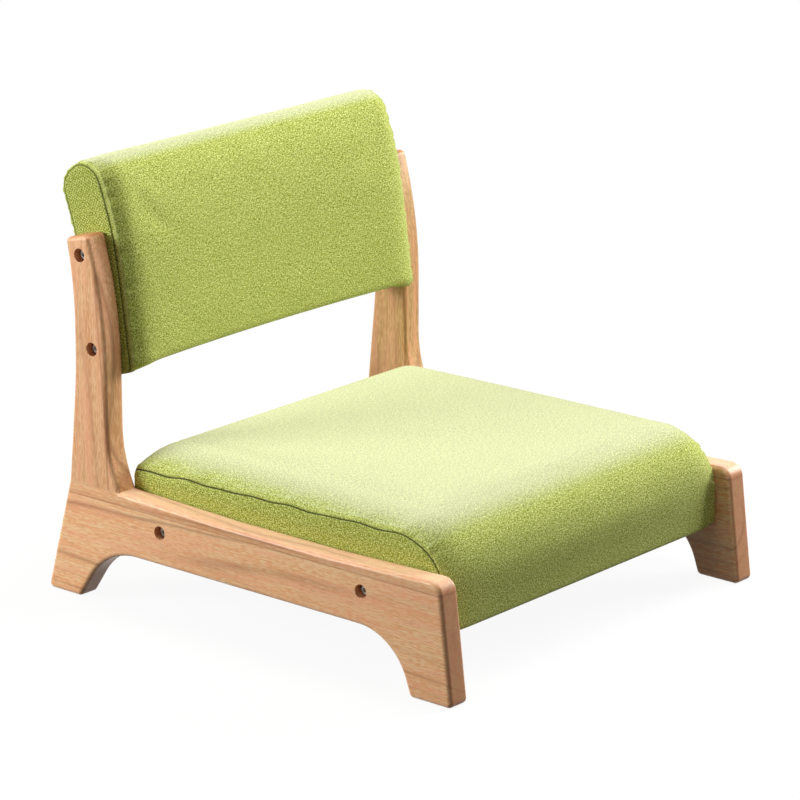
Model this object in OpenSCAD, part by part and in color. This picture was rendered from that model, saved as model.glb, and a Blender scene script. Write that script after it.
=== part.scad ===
// Low floor chair. Two side frames, each a footed board with a doweled back
// post, carry an upholstered seat and a padded backrest on countersunk bolts.
// X runs across the chair, Y from the front toes to the back, Z up.
// All sizes are in millimetres and the floor is at Z = 0.

/* [Side frames] */
// Width over both side frames
chair_w = 520; // [440:1:600]
// Length of a side frame from front toe to rear toe
frame_d = 571; // [560:1:600]
// Thickness of the side frame boards
board_t = 28; // [26:0.5:32]
// Height of the rail's top at both ends
rail_h = 131.5; // [126:0.5:140]
// How far the rail's top dips half way along
rail_dip = 4.5; // [1:0.5:7]
// Height of the arch under the rail
arch_h = 62.5; // [58:0.5:66]
// Length of the front foot on the floor
front_foot_l = 55; // [48:1:62]
// Length of the rear foot on the floor
rear_foot_l = 47; // [40:1:54]
// Angle of the front leg's inner edge from the floor
front_leg_angle = 71; // [66:1:78]
// Angle of the rear leg's inner edge from the floor
rear_leg_angle = 56.5; // [52:0.5:62]
// Radius where the front leg meets the arch
front_arch_r = 68; // [50:1:72]
// Radius where the rear leg meets the arch
rear_arch_r = 80; // [60:1:90]
// How far the front edge leans back from toe to rail top
front_rake = 15.5; // [8:0.5:22]
// How far the rear edge leans in from toe to rail top
rear_rake = 35; // [30:0.5:40]
// Radius of the rail's front top corner
rail_nose_r = 15; // [8:1:20]

/* [Back posts] */
// Height of the post's front top corner
post_h = 409; // [400:1:420]
// Front-to-back width of the post at its waist
post_w = 46; // [42:0.5:50]
// Distance of the post's waist in front of the rear toe
post_inset = 47.3; // [45:0.1:50]
// Radius of the post's front edge where it leans back
post_front_bend_r = 480; // [400:10:500]
// Radius of the post's rear edge where it leans back
post_rear_bend_r = 430; // [350:10:450]
// Radius of the flare at the post's front foot
post_flare_r = 140; // [100:1:150]
// How far the flare reaches in front of the waist
post_flare = 16.5; // [12:0.5:20]
// Diameter of the dowels between post and board
dowel_d = 8; // [6:1:10]
// Length of the dowels
dowel_l = 50; // [40:1:60]
// Distance between the two dowels of a post
dowel_spacing = 30; // [26:1:34]

/* [Seat] */
// Distance of the seat's front behind the front toes
seat_setback = 32; // [28:1:38]
// Distance of the seat's back in front of the rear toes
seat_back_inset = 105; // [104:1:112]
// Height of the side seam above the rail's top at the front
seam_rise_front = 28; // [24:0.5:34]
// Height of the side seam above the rail's top at the back
seam_rise_rear = 20; // [17:0.5:26]
// Radius of the seat's front top edge at the side seam
seat_nose_r = 60; // [50:1:66]
// How far the seat's top rises inside the side seams at the front
seat_loft_front = 18; // [10:0.5:22]
// How far the seat's top rises inside the side seams at the back
seat_loft_rear = 24; // [14:0.5:26]
// Further rise of the seat's top towards its middle
seat_crown = 4; // [0:0.5:7]
// How far the seat's front face swells
seat_swell = 4; // [0:0.5:6]
// Height of the wooden side rails inside the seat
seat_rail_h = 60; // [54:1:61]
// Thickness of the wooden rails inside the seat
seat_rail_t = 25; // [23:0.5:28]
// Leg of the triangular corner blocks inside the seat
corner_block = 45; // [35:1:55]
// Foam between the front rail and the cover
front_foam_t = 8; // [6:0.5:12]
// Foam between the rear rail and the cover
rear_foam_t = 5; // [4:0.5:8]
// Width of the webbing straps
strap_w = 60; // [45:1:62]
// Thickness of the webbing straps
strap_t = 1.2; // [0.8:0.1:1.6]

/* [Backrest] */
// Thickness of the backrest at its end panels
pad_t = 60; // [58:0.5:64]
// Height of the backrest along its curve
pad_h = 230; // [222:1:234]
// Height of the backrest's lower end above the floor
pad_z = 252; // [246:1:258]
// Distance of the backrest's lower end in front of the rear toes
pad_inset = 78.5; // [77:0.1:80]
// Lean of the backrest's straight lower part, in degrees
pad_lean = 8.2; // [7:0.1:9]
// Length of the backrest's straight lower part
pad_straight = 116; // [106:1:132]
// Radius of the backrest's curve above its straight part
pad_bend_r = 330; // [300:10:400]
// How far the backrest's middle is set back from its ends
pad_hollow = 4; // [0:0.5:5]
// How much thinner the padding is in the middle of the front face
pad_cup = 9; // [0:0.5:10]
// Radius of the backrest's top edges
pad_top_r = 28.5; // [20:0.5:28.5]
// Radius of the backrest's bottom edges
pad_bottom_r = 9; // [6:0.5:12]
// Radius of the backrest's upright front edges
pad_end_r = 12; // [8:0.5:13]
// Radius of the ends of the backrest's top
pad_top_end_r = 7; // [4:0.5:10]
// Radius of the backrest's upright rear edges
pad_rear_end_r = 5; // [4:0.5:6]
// How far the front face swells between its upright edges
pad_swell = 12; // [6:0.5:13]
// How far the lower edge is drawn up between the ends
pad_tuck = 8; // [2:0.5:9]
// Front-to-back depth of the wooden core inside the backrest
core_t = 35; // [32:0.5:36]
// Distance of the core above the backrest's lower end
core_start = 16; // [14:0.5:18]
// Height of the core's boards along the curve
core_h = 172; // [160:1:176]
// Height of the end blocks along the curve
end_block_h = 150; // [140:1:158]
// Width of the end blocks across the chair
end_block_w = 26; // [23:0.5:30]
// Thickness of the moulded front board
front_board_t = 10; // [8:0.5:12]
// Thickness of the thin rear board
rear_board_t = 4; // [3:0.5:6]
// Height of the two spacer rails between the boards
spacer_h = 22; // [18:1:28]

/* [Upholstery cover] */
// Thickness of the cover with its lining
cover_t = 1.5; // [1:0.1:1.8]
// Distance over which the padding rises from its end seams
pad_run = 44; // [30:1:60]
// Width of the hems stapled under the seat
hem_w = 20; // [14:1:24]
// Thickness of the dust cover under the seat
dust_t = 0.8; // [0.5:0.1:1.2]

/* [Bolts] */
// Diameter of the bolts' shanks
bolt_d = 6; // [5:0.5:6.5]
// Length of the bolts under the head
bolt_l = 35; // [33:0.5:37]
// Diameter of the bolts' heads
bolt_head_d = 10; // [9:0.5:11]
// Height of the bolts' heads
bolt_head_h = 6; // [5:0.5:7]
// Width across flats of the bolts' hex sockets
socket_af = 5; // [4:0.5:5.5]
// Diameter of the counterbores that sink the heads
counterbore_d = 15; // [14:0.5:17]
// Depth of the counterbores
counterbore_depth = 16; // [15:0.5:17]
// Outer diameter of the flat washers
washer_d = 12; // [11.5:0.1:13]
// Thickness of the flat washers
washer_t = 1.6; // [1:0.1:2]
// Outer diameter of the spring washers
spring_washer_d = 11; // [10:0.1:11.5]
// Thickness of the spring washers
spring_washer_t = 1.6; // [1.2:0.1:2]
// Outer diameter of the threaded inserts
insert_d = 10; // [9:0.5:11]
// Length of the threaded inserts
insert_l = 15; // [13:0.5:17]
// Height of the seat bolts above the arch
seat_bolt_up = 36.7; // [32:0.1:40]
// Distance of the front seat bolt behind the front toes
seat_bolt_front = 119.5; // [112:0.5:130]
// Distance of the rear seat bolt in front of the rear toes
seat_bolt_rear = 169; // [160:0.5:180]
// Place of the lower backrest bolt along the backrest
pad_bolt_low = 32.7; // [30:0.1:38]
// Place of the upper backrest bolt along the backrest
pad_bolt_high = 134.7; // [122:0.1:140]

/* [Hidden] */

// Colours
ash = "burlywood";
plain_wood = "wheat";
plywood = "tan";
green_cloth = "yellowgreen";
foam_yellow = "khaki";
zinc = "silver";
strap_grey = "dimgray";
dust_black = "black";

// Clearances
seat_gap = 0.3;     // between the upholstery and the side frames
foam_gap = 0.2;     // round the foam and the wooden core
thread_gap = 0.05;  // round a bolt in its insert and an insert in its hole
dowel_gap = 0.1;    // round a dowel
dowel_end_gap = 1;  // beyond a dowel's ends
through_gap = 0.3;  // round a bolt's shank in wood
cover_hole_gap = 1; // round a bolt's shank in the cover
washer_gap = 0.2;   // round a bolt's shank in its washers
tip_room = 7;       // for a bolt's tip behind its insert
closing_gap = 0.4;  // in the backrest's closing seam
seam_relief = 4;    // of the backrest's rear face behind its end seams
foam_cut = 2;       // slant of the seat foam's lower edges
corner_foam = 2;    // least foam in front of the backrest's core

// Places shared by several pieces
front_y = -frame_d / 2;
rear_y = frame_d / 2;
inner_x = chair_w / 2 - board_t;
pad_x = inner_x - seat_gap;
core_x = pad_x - cover_t;
hole_fn = 48;
eps = 0.01;

function unit(v) = v / norm(v);
function left_of(v) = [-v[1], v[0]];
function flat(p) = [p[0], p[1]];
function spin(v, a) = [v[0] * cos(a) - v[1] * sin(a), v[0] * sin(a) + v[1] * cos(a)];
function reversed(list) = [for (i = [len(list) - 1 : -1 : 0]) list[i]];
function mix(a, b, u) = a + (b - a) * u;

// Points of a closed counterclockwise outline given as [y, z, radius] corners
corner_step = 8;
function rounded(corners) = [
    for (i = [0 : len(corners) - 1])
        let (
            n = len(corners),
            here = flat(corners[i]),
            u = unit(here - flat(corners[(i + n - 1) % n])),
            w = unit(flat(corners[(i + 1) % n]) - here),
            turn = atan2(cross(u, w), u * w),
            r = corners[i][2],
            start = here - u * r * tan(abs(turn) / 2),
            centre = start + sign(turn) * r * left_of(u),
            steps = r == 0 ? 0 : max(3, ceil(abs(turn) / corner_step))
        )
        each steps == 0
            ? [here]
            : [for (k = [0 : steps]) centre + spin(start - centre, turn * k / steps)]
];

// Points of an arc and of a straight stretch, the latter without its end
function arc(centre, r, from, to, n) = [
    for (i = [0 : n]) centre + r * [cos(mix(from, to, i / n)), sin(mix(from, to, i / n))]
];
function stretch(a, b, n) = [for (i = [0 : n - 1]) mix(a, b, i / n)];

// Triangles that close a band-like ring between its points i and j, going on
// each time by the shorter way across
function ladder(ring, i, j) =
    j - i < 2 ? []
    : norm(ring[i + 1] - ring[j]) < norm(ring[i] - ring[j - 1])
        ? [[i, i + 1, j], each ladder(ring, i + 1, j)]
        : [[i, j - 1, j], each ladder(ring, i, j - 1)];

// Solid through rings of as many points each, from low to high X. A ring runs
// round its band and starts at one end of it.
module loft(rings) {
    k = len(rings[0]);
    last = (len(rings) - 1) * k;
    first_end = ladder(rings[0], 0, k - 1);
    polyhedron(
        points = [for (ring = rings) each ring],
        faces = [
            each first_end,
            for (j = [0 : len(rings) - 2], i = [0 : k - 1])
                let (a = j * k + i, b = j * k + (i + 1) % k)
                each [[a, a + k, b + k], [a, b + k, b]],
            for (face = first_end) [for (i = reversed(face)) last + i]
        ]
    );
}

// Plate across X with a [y, z] outline
module plate(outline, x0, x1) {
    translate([x0, 0, 0])
        rotate([90, 0, 90])
            linear_extrude(x1 - x0) polygon(outline);
}

// Rod along X
module rod(x0, x1, p, d, fn = hole_fn) {
    translate([x0, p[0], p[1]])
        rotate([0, 90, 0])
            cylinder(h = x1 - x0, d = d, $fn = fn);
}

// Block between two corners
module block(low, high) {
    translate(low) cube(high - low);
}

// The same piece on the right-hand side of the chair
module right() {
    mirror([1, 0, 0]) children();
}

// Outline of a side board
post_rear_y = rear_y - post_inset;
post_front_y = post_rear_y - post_w;
post_foot_y = post_front_y - post_flare;
rail_rear_y = rear_y - rear_rake;
rail_front_y = front_y + front_rake;
rail_half = (post_foot_y - rail_front_y) / 2;
toe_r = 3;
heel_r = 5;
dip_share = 0.93; // share of the rail's top that its shallow arc takes

// How far a toe's corner stands out so that its rounding reaches the full depth
function toe_out(rake) = (tan(45 + atan(rake / rail_h) / 2) - 1) * toe_r;

board_corners = [
    [front_y - toe_out(front_rake), 0, toe_r],
    [front_y + front_foot_l, 0, heel_r],
    [front_y + front_foot_l + arch_h / tan(front_leg_angle), arch_h, front_arch_r],
    [rear_y - rear_foot_l - arch_h / tan(rear_leg_angle), arch_h, rear_arch_r],
    [rear_y - rear_foot_l, 0, heel_r],
    [rear_y + toe_out(rear_rake), 0, toe_r],
    [rail_rear_y, rail_h, 0],
    [post_foot_y, rail_h, 0],
    [rail_front_y + rail_half, rail_h - 2 * rail_dip, dip_share * rail_half ^ 2 / (2 * rail_dip)],
    [rail_front_y, rail_h, rail_nose_r]
];

// Outline of a back post, which stands on the board's level rear end
rear_low_bend_up = 0.45;  // places of the post's bends, as shares of its height
rear_high_bend_up = 0.79;
front_bend_up = 0.72;
rear_low_bend_r = 650;
rear_top_lean = 11;       // leans of the post's upper end, in degrees
front_top_lean = 16.5;
top_slope = 13;           // fall of the post's end grain to the back, in degrees
flare_h = 34;
post_tall = post_h - rail_h;
rear_high_z = rail_h + rear_high_bend_up * post_tall;
front_bend_z = rail_h + front_bend_up * post_tall;
post_top_y = post_front_y + (post_h - front_bend_z) * tan(front_top_lean);

// Where the sloping top meets the leaning rear edge
function top_rear_corner() =
    let (
        z = (post_h - (post_rear_y - post_top_y - rear_high_z * tan(rear_top_lean)) * tan(top_slope))
            / (1 + tan(rear_top_lean) * tan(top_slope))
    )
    [post_rear_y + (z - rear_high_z) * tan(rear_top_lean), z];

post_corners = [
    [rail_rear_y, rail_h, 0],
    [post_rear_y, rail_h + rear_low_bend_up * post_tall, rear_low_bend_r],
    [post_rear_y, rear_high_z, post_rear_bend_r],
    [each top_rear_corner(), toe_r],
    [post_top_y, post_h, toe_r],
    [post_front_y, front_bend_z, post_front_bend_r],
    [post_front_y, rail_h + flare_h, post_flare_r],
    [post_foot_y, rail_h, 0]
];

// Centre line and thickness direction of the backrest, at s along its height
function pad_angle(s) = pad_lean + max(s - pad_straight, 0) / pad_bend_r * 180 / PI;
function pad_centre(s) =
    let (
        lower = min(s, pad_straight),
        a = pad_angle(s)
    )
    [rear_y - pad_inset, pad_z]
        + lower * [sin(pad_lean), cos(pad_lean)]
        + pad_bend_r * [cos(pad_lean) - cos(a), sin(a) - sin(pad_lean)];
function pad_point(p) =
    pad_centre(p[1]) + p[0] * [cos(pad_angle(p[1])), -sin(pad_angle(p[1]))];
function set_back(x) = pad_hollow * (1 - (x / core_x) ^ 2);

// A ring of the backrest at x from its [thickness, height] points
function pad_ring(points, x) = [
    for (p = points) let (q = pad_point(p)) [x, q[0] + set_back(x), q[1]]
];

// Bolt places on the side frames, as [y, z]
seat_bolt_z = arch_h + seat_bolt_up;
seat_bolt_places = [
    [front_y + seat_bolt_front, seat_bolt_z],
    [rear_y - seat_bolt_rear, seat_bolt_z]
];
pad_bolt_places = [pad_point([0, pad_bolt_low]), pad_point([0, pad_bolt_high])];

// Dowel places between post and board
dowel_x = inner_x + board_t / 2;
dowel_mid_y = (rail_rear_y + post_foot_y) / 2;
dowel_ys = [dowel_mid_y - dowel_spacing / 2, dowel_mid_y + dowel_spacing / 2];

module dowels(extra, d) {
    for (y = dowel_ys)
        translate([-dowel_x, y, rail_h - dowel_l / 2 - extra])
            cylinder(h = dowel_l + 2 * extra, d = d, $fn = hole_fn);
}

// Through holes and counterbores on the left side
module bolt_holes(places) {
    for (p = places) {
        rod(-chair_w / 2 - eps, -inner_x + eps, p, bolt_d + 2 * through_gap);
        rod(-chair_w / 2 - eps, -chair_w / 2 + counterbore_depth, p, counterbore_d);
    }
}

module side_board() {
    color(ash) difference() {
        plate(rounded(board_corners), -chair_w / 2, -inner_x);
        bolt_holes(seat_bolt_places);
        dowels(dowel_end_gap, dowel_d + 2 * dowel_gap);
    }
}
module left_side_board() { side_board(); }
module right_side_board() { right() side_board(); }

module back_post() {
    color(ash) difference() {
        plate(rounded(post_corners), -chair_w / 2, -inner_x);
        bolt_holes(pad_bolt_places);
        dowels(dowel_end_gap, dowel_d + 2 * dowel_gap);
    }
}
module left_back_post() { back_post(); }
module right_back_post() { right() back_post(); }

module left_post_dowels() { color(plain_wood) dowels(0, dowel_d); }
module right_post_dowels() { right() left_post_dowels(); }

// Bolts, washers and inserts of the left side, then of both sides
head_x = -chair_w / 2 + counterbore_depth - washer_t - spring_washer_t;
socket_share = 0.6; // depth of the hex socket, as a share of the head
slit_w = 1.2;       // cut through the spring washer

module ring(x0, t, p, outer, inner) {
    difference() {
        rod(x0, x0 + t, p, outer);
        rod(x0 - eps, x0 + t + eps, p, inner);
    }
}

module both_sides(places) {
    for (p = places) {
        translate([0, p[0], p[1]]) children();
        right() translate([0, p[0], p[1]]) children();
    }
}

module bolt() {
    color(zinc) difference() {
        union() {
            rod(head_x - bolt_head_h, head_x, [0, 0], bolt_head_d);
            rod(head_x - eps, head_x + bolt_l, [0, 0], bolt_d);
        }
        rod(head_x - bolt_head_h - eps, head_x - bolt_head_h * (1 - socket_share), [0, 0],
            socket_af / cos(30), 6);
    }
}
module spring_washer() {
    color(zinc) difference() {
        ring(head_x, spring_washer_t, [0, 0], spring_washer_d, bolt_d + 2 * washer_gap);
        translate([head_x - eps, 0, -slit_w / 2])
            cube([spring_washer_t + 2 * eps, spring_washer_d, slit_w]);
    }
}
module flat_washer() {
    color(zinc)
        ring(head_x + spring_washer_t, washer_t, [0, 0], washer_d, bolt_d + 2 * washer_gap);
}
module insert() {
    color(zinc) ring(-core_x, insert_l, [0, 0], insert_d, bolt_d + 2 * thread_gap);
}

module seat_bolts() { both_sides(seat_bolt_places) bolt(); }
module seat_spring_washers() { both_sides(seat_bolt_places) spring_washer(); }
module seat_flat_washers() { both_sides(seat_bolt_places) flat_washer(); }
module seat_inserts() { both_sides(seat_bolt_places) insert(); }
module back_bolts() { both_sides(pad_bolt_places) bolt(); }
module back_spring_washers() { both_sides(pad_bolt_places) spring_washer(); }
module back_flat_washers() { both_sides(pad_bolt_places) flat_washer(); }
module back_inserts() { both_sides(pad_bolt_places) insert(); }

// Holes for inserts in the wood inside the upholstery, deeper than the
// inserts so that the bolts' tips have room
module insert_holes(places) {
    for (p = places)
        rod(-core_x - eps, -core_x + insert_l + tip_room, p, insert_d + 2 * thread_gap);
}

// Holes for bolts in the cover's end panels
module cover_holes(places) {
    for (p = places)
        rod(-pad_x - eps, -core_x + eps, p, bolt_d + 2 * cover_hole_gap);
}

// Seat frame
seat_z = arch_h + dust_t;
seat_front_y = front_y + seat_setback;
seat_rear_y = rear_y - seat_back_inset;
rail_z = seat_z + cover_t;
rail_front = seat_front_y + cover_t + front_foam_t;
rail_rear = seat_rear_y - cover_t - rear_foam_t;
side_rail_top = rail_z + seat_rail_h;
cross_rail_top = side_rail_top + strap_t;
bay_x = core_x - seat_rail_t;
bay_front = rail_front + seat_rail_t;
bay_rear = rail_rear - seat_rail_t;

module seat_left_rail() {
    color(plain_wood) difference() {
        block([-core_x, rail_front, rail_z], [-bay_x, rail_rear, side_rail_top]);
        insert_holes(seat_bolt_places);
    }
}
module seat_right_rail() { right() seat_left_rail(); }
module seat_front_rail() {
    color(plain_wood) block([-bay_x, rail_front, rail_z], [bay_x, bay_front, cross_rail_top]);
}
module seat_rear_rail() {
    color(plain_wood) block([-bay_x, bay_rear, rail_z], [bay_x, rail_rear, cross_rail_top]);
}

corner_block_drop = 12; // of the corner blocks' top under the side rails' top
module seat_corner_blocks() {
    color(plain_wood)
        for (side = [0, 1], end = [0, 1])
            mirror([side, 0, 0])
                translate([-bay_x, end == 0 ? bay_front : bay_rear, rail_z])
                    mirror([0, end, 0])
                        linear_extrude(seat_rail_h - corner_block_drop)
                            polygon([[0, 0], [corner_block, 0], [0, corner_block]]);
}

// Webbing: straps across lie on the side rails, lengthwise ones over them
strap_edge = 4;     // of a strap's end inside the rail's outer face
least_strap_gap = 12;
function strap_count(span) = floor(span / (strap_w + least_strap_gap));
function strap_starts(from, to) =
    let (
        n = strap_count(to - from),
        pitch = (to - from) / n
    )
    [for (i = [0 : n - 1]) from + (i + 0.5) * pitch - strap_w / 2];

module seat_webbing_across() {
    color(strap_grey)
        for (y = strap_starts(bay_front, bay_rear))
            block([-core_x + strap_edge, y, side_rail_top],
                [core_x - strap_edge, y + strap_w, cross_rail_top]);
}
module seat_webbing_lengthwise() {
    color(strap_grey)
        for (x = strap_starts(-bay_x, bay_x))
            block([x, rail_front + strap_edge, cross_rail_top],
                [x + strap_w, rail_rear - strap_edge, cross_rail_top + strap_t]);
}

// Rise of the padding from its end seams, 0 at a seam and 1 inside
rise_power = 0.7;
function rise(x) = (1 - (1 - min((core_x - abs(x)) / pad_run, 1)) ^ 2) ^ rise_power;
end_shares = [0, 0.07, 0.2, 0.4, 0.68];
middle_shares = [0, 1 / 3, 2 / 3];
half_stations = [
    for (u = end_shares) -core_x + pad_run * u,
    for (u = middle_shares) (-core_x + pad_run) * (1 - u)
];
stations = [each half_stations, 0, for (x = reversed(half_stations)) -x];

// Line of the seat's cover at x, d under its surface, from rear foot to front
seat_rear_r = 8;       // radius of the rear top edge at the seams
seat_rear_loft_r = 20; // further radius there inside the seams
seat_foot_r = 5;
seat_top_steps = 8;
function seat_line(x, d) =
    let (
        f = rise(x),
        middle = 1 - (x / core_x) ^ 2,
        y0 = seat_front_y - seat_swell * f + d,
        y1 = seat_rear_y - d,
        z0 = seat_z + d,
        front_z = rail_h + seam_rise_front + seat_loft_front * f - d,
        rear_z = rail_h + seam_rise_rear + seat_loft_rear * f - d,
        nose = seat_nose_r - d,
        back = seat_rear_r + seat_rear_loft_r * f - d,
        foot = seat_foot_r - d,
        from = [y1 - back, rear_z],
        to = [y0 + nose, front_z]
    )
    [
        each arc([y1 - foot, z0 + foot], foot, -90, 0, 2),
        each arc([y1 - back, rear_z - back], back, 0, 90, 4),
        for (k = [1 : seat_top_steps - 1])
            let (u = k / seat_top_steps)
            mix(from, to, u) + [0, seat_crown * middle * sin(180 * u)],
        each arc([y0 + nose, front_z - nose], nose, 90, 180, 7),
        each arc([y0 + foot, z0 + foot], foot, 180, 270, 2)
    ];
function at(points, x) = [for (p = points) [x, p[0], p[1]]];

module seat_cover() {
    hem_front = [seat_front_y + hem_w, seat_z];
    hem_rear = [seat_rear_y - hem_w, seat_z];
    up = [0, cover_t];
    color(green_cloth)
        loft([
            for (x = stations)
                at([
                    hem_rear,
                    each seat_line(x, 0),
                    hem_front,
                    hem_front + up,
                    each reversed(seat_line(x, cover_t)),
                    hem_rear + up
                ], x)
        ]);
}

// The foam lies on the webbing and laps over the front and rear rails, where
// its lower edges are cut at a slant
module seat_foam() {
    d = cover_t + foam_gap;
    foot = seat_z + seat_foot_r + foam_cut;
    top = cross_rail_top + strap_t + foam_gap;
    y0 = rail_front - foam_gap;
    y1 = rail_rear + foam_gap;
    color(foam_yellow)
        loft([
            for (x = stations)
                let (line = seat_line(x, d), n = len(line))
                at([
                    [y0, foot], [y0, top], [y1, top], [y1, foot],
                    for (i = [2 : n - 3]) line[i]
                ], x * (core_x - foam_gap) / core_x)
        ]);
}

// A side panel is sewn to the cover's edges and turned in under the side rail
module seat_left_side_panel() {
    line = seat_line(core_x, 0);
    color(green_cloth) difference() {
        union() {
            plate(line, -pad_x, -core_x);
            block([-core_x - eps, seat_front_y + hem_w, seat_z],
                [-core_x + hem_w, seat_rear_y - hem_w, seat_z + cover_t]);
        }
        cover_holes(seat_bolt_places);
    }
}
module seat_right_side_panel() { right() seat_left_side_panel(); }

dust_inset = 8;
module seat_dust_cover() {
    color(dust_black)
        block([-core_x + dust_inset, seat_front_y + dust_inset, arch_h],
            [core_x - dust_inset, seat_rear_y - dust_inset, seat_z]);
}

// Backrest core, in [thickness, height] places along the backrest's curve
core_bay_x = core_x - end_block_w;
core_steps = 8;
core_stations = [for (i = [-5 : 5]) i / 5 * core_bay_x];
core_top = core_start + core_h;
core_front = -pad_t / 2 + pad_end_r + cover_t + 2 * foam_gap + corner_foam;
core_rear = core_front + core_t;
board_back = core_front + front_board_t;
rear_board_front = core_rear - rear_board_t;

function slab(t0, t1, s0, s1, n) = [
    [t0, s0],
    each stretch([t1, s0], [t1, s1], n),
    each stretch([t1, s1], [t0, s1], 1),
    each stretch([t0, s1], [t0, s0], n)
];
module pad_slab(t0, t1, s0, s1, n, xs) {
    loft([for (x = xs) pad_ring(slab(t0, t1, s0, s1, n), x)]);
}

module back_left_end_block() {
    outline = [
        for (p = slab(core_front, core_rear, core_start, core_start + end_block_h, core_steps))
            pad_point(p)
    ];
    color(plain_wood) difference() {
        plate(outline, -core_x, -core_bay_x);
        insert_holes(pad_bolt_places);
    }
}
module back_right_end_block() { right() back_left_end_block(); }

bay_gap = 0.2; // between the boards' ends and the end blocks
inner_stations = [for (x = core_stations) x * (core_bay_x - bay_gap) / core_bay_x];
module back_front_board() {
    color(plywood)
        pad_slab(core_front, board_back, core_start, core_top, core_steps, inner_stations);
}
module back_rear_board() {
    color(plywood)
        pad_slab(rear_board_front, core_rear, core_start, core_top, core_steps, inner_stations);
}
module back_spacer_rails() {
    color(plain_wood)
        for (s = [core_start, core_top - spacer_h])
            pad_slab(board_back + foam_gap, rear_board_front - foam_gap, s, s + spacer_h, 2,
                inner_stations);
}

// What is missing at x from an edge that is rounded over a radius at the ends
function end_round(x, r) = r * (1 - sqrt(1 - (1 - min((core_x - abs(x)) / r, 1)) ^ 2));

// Line of the backrest's cover at x, d under its surface, from the closing
// seam under the backrest round its rear, top and front to the seam again
closing_t = 14;
face_steps = 7;
function pad_line(x, d) =
    let (
        f = rise(x),
        middle = 1 - (x / core_x) ^ 2,
        t0 = -pad_t / 2 + end_round(x, pad_end_r) - pad_swell * f + pad_cup * middle + d,
        t1 = pad_t / 2 + seam_relief - end_round(x, pad_rear_end_r) - d,
        s0 = pad_tuck * f + d,
        s1 = pad_h - end_round(x, pad_top_end_r) - d,
        low = pad_bottom_r - d,
        high = min(pad_top_r, (t1 - t0) / 2 - 1) - d
    )
    [
        [closing_t + closing_gap / 2, s0],
        each arc([t1 - low, s0 + low], low, -90, 0, 3),
        for (k = [1 : face_steps - 1]) [t1, mix(s0 + low, s1 - high, k / face_steps)],
        each arc([t1 - high, s1 - high], high, 0, 90, 4),
        each arc([t0 + high, s1 - high], high, 90, 180, 4),
        for (k = [1 : face_steps - 1]) [t0, mix(s1 - high, s0 + low, k / face_steps)],
        each arc([t0 + low, s0 + low], low, 180, 270, 3),
        [closing_t - closing_gap / 2, s0]
    ];

module back_cover() {
    color(green_cloth)
        loft([
            for (x = stations)
                pad_ring([each pad_line(x, 0), each reversed(pad_line(x, cover_t))], x)
        ]);
}

// The front foam rolls over the core's top, the rear foam stops under the roll
foam_steps = 8;
module back_front_foam() {
    d = cover_t + foam_gap;
    roll_s = core_top + foam_gap;
    foam_t0 = core_front - foam_gap;
    first = 4 + face_steps; // first point of the line above the roll's start
    color(foam_yellow)
        loft([
            for (x = stations)
                let (line = pad_line(x, d), last = len(line) - 5)
                pad_ring([
                    each stretch([foam_t0, line[last][1]], [foam_t0, roll_s], foam_steps),
                    [foam_t0, roll_s],
                    [line[first][0], roll_s],
                    for (i = [first : last]) line[i]
                ], x * (core_x - foam_gap) / core_x)
        ]);
}
module back_rear_foam() {
    d = cover_t + foam_gap;
    color(foam_yellow)
        loft([
            for (x = stations)
                let (line = pad_line(x, d))
                pad_ring(slab(core_rear + foam_gap, line[5][0], line[4][1], core_top, foam_steps),
                    x * (core_x - foam_gap) / core_x)
        ]);
}

module back_left_end_panel() {
    line = pad_line(core_x, 0);
    outline = [for (i = [1 : len(line) - 2]) pad_point(line[i])];
    color(green_cloth) difference() {
        plate(outline, -pad_x, -core_x);
        cover_holes(pad_bolt_places);
    }
}
module back_right_end_panel() { right() back_left_end_panel(); }

left_side_board();
right_side_board();
left_back_post();
right_back_post();
left_post_dowels();
right_post_dowels();
seat_left_rail();
seat_right_rail();
seat_front_rail();
seat_rear_rail();
seat_corner_blocks();
seat_webbing_across();
seat_webbing_lengthwise();
seat_foam();
seat_cover();
seat_left_side_panel();
seat_right_side_panel();
seat_dust_cover();
back_left_end_block();
back_right_end_block();
back_spacer_rails();
back_front_board();
back_rear_board();
back_front_foam();
back_rear_foam();
back_cover();
back_left_end_panel();
back_right_end_panel();
seat_bolts();
seat_spring_washers();
seat_flat_washers();
seat_inserts();
back_bolts();
back_spring_washers();
back_flat_washers();
back_inserts();
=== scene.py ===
"""Looks of an upholstered floor chair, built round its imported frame.

The sitter faces -Y, the floor is at Z = 0 and the left side frame is at -X.
Sizes are in metres and angles in degrees.
"""

import logging
import math
from collections.abc import Callable, Sequence
from dataclasses import dataclass
from enum import Enum

import bmesh
import bpy
import numpy as np
from bpy.types import ID, Material, Mesh, Node, NodeSocket, NodeTree, Object
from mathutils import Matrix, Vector
from mathutils.geometry import tessellate_polygon


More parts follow.
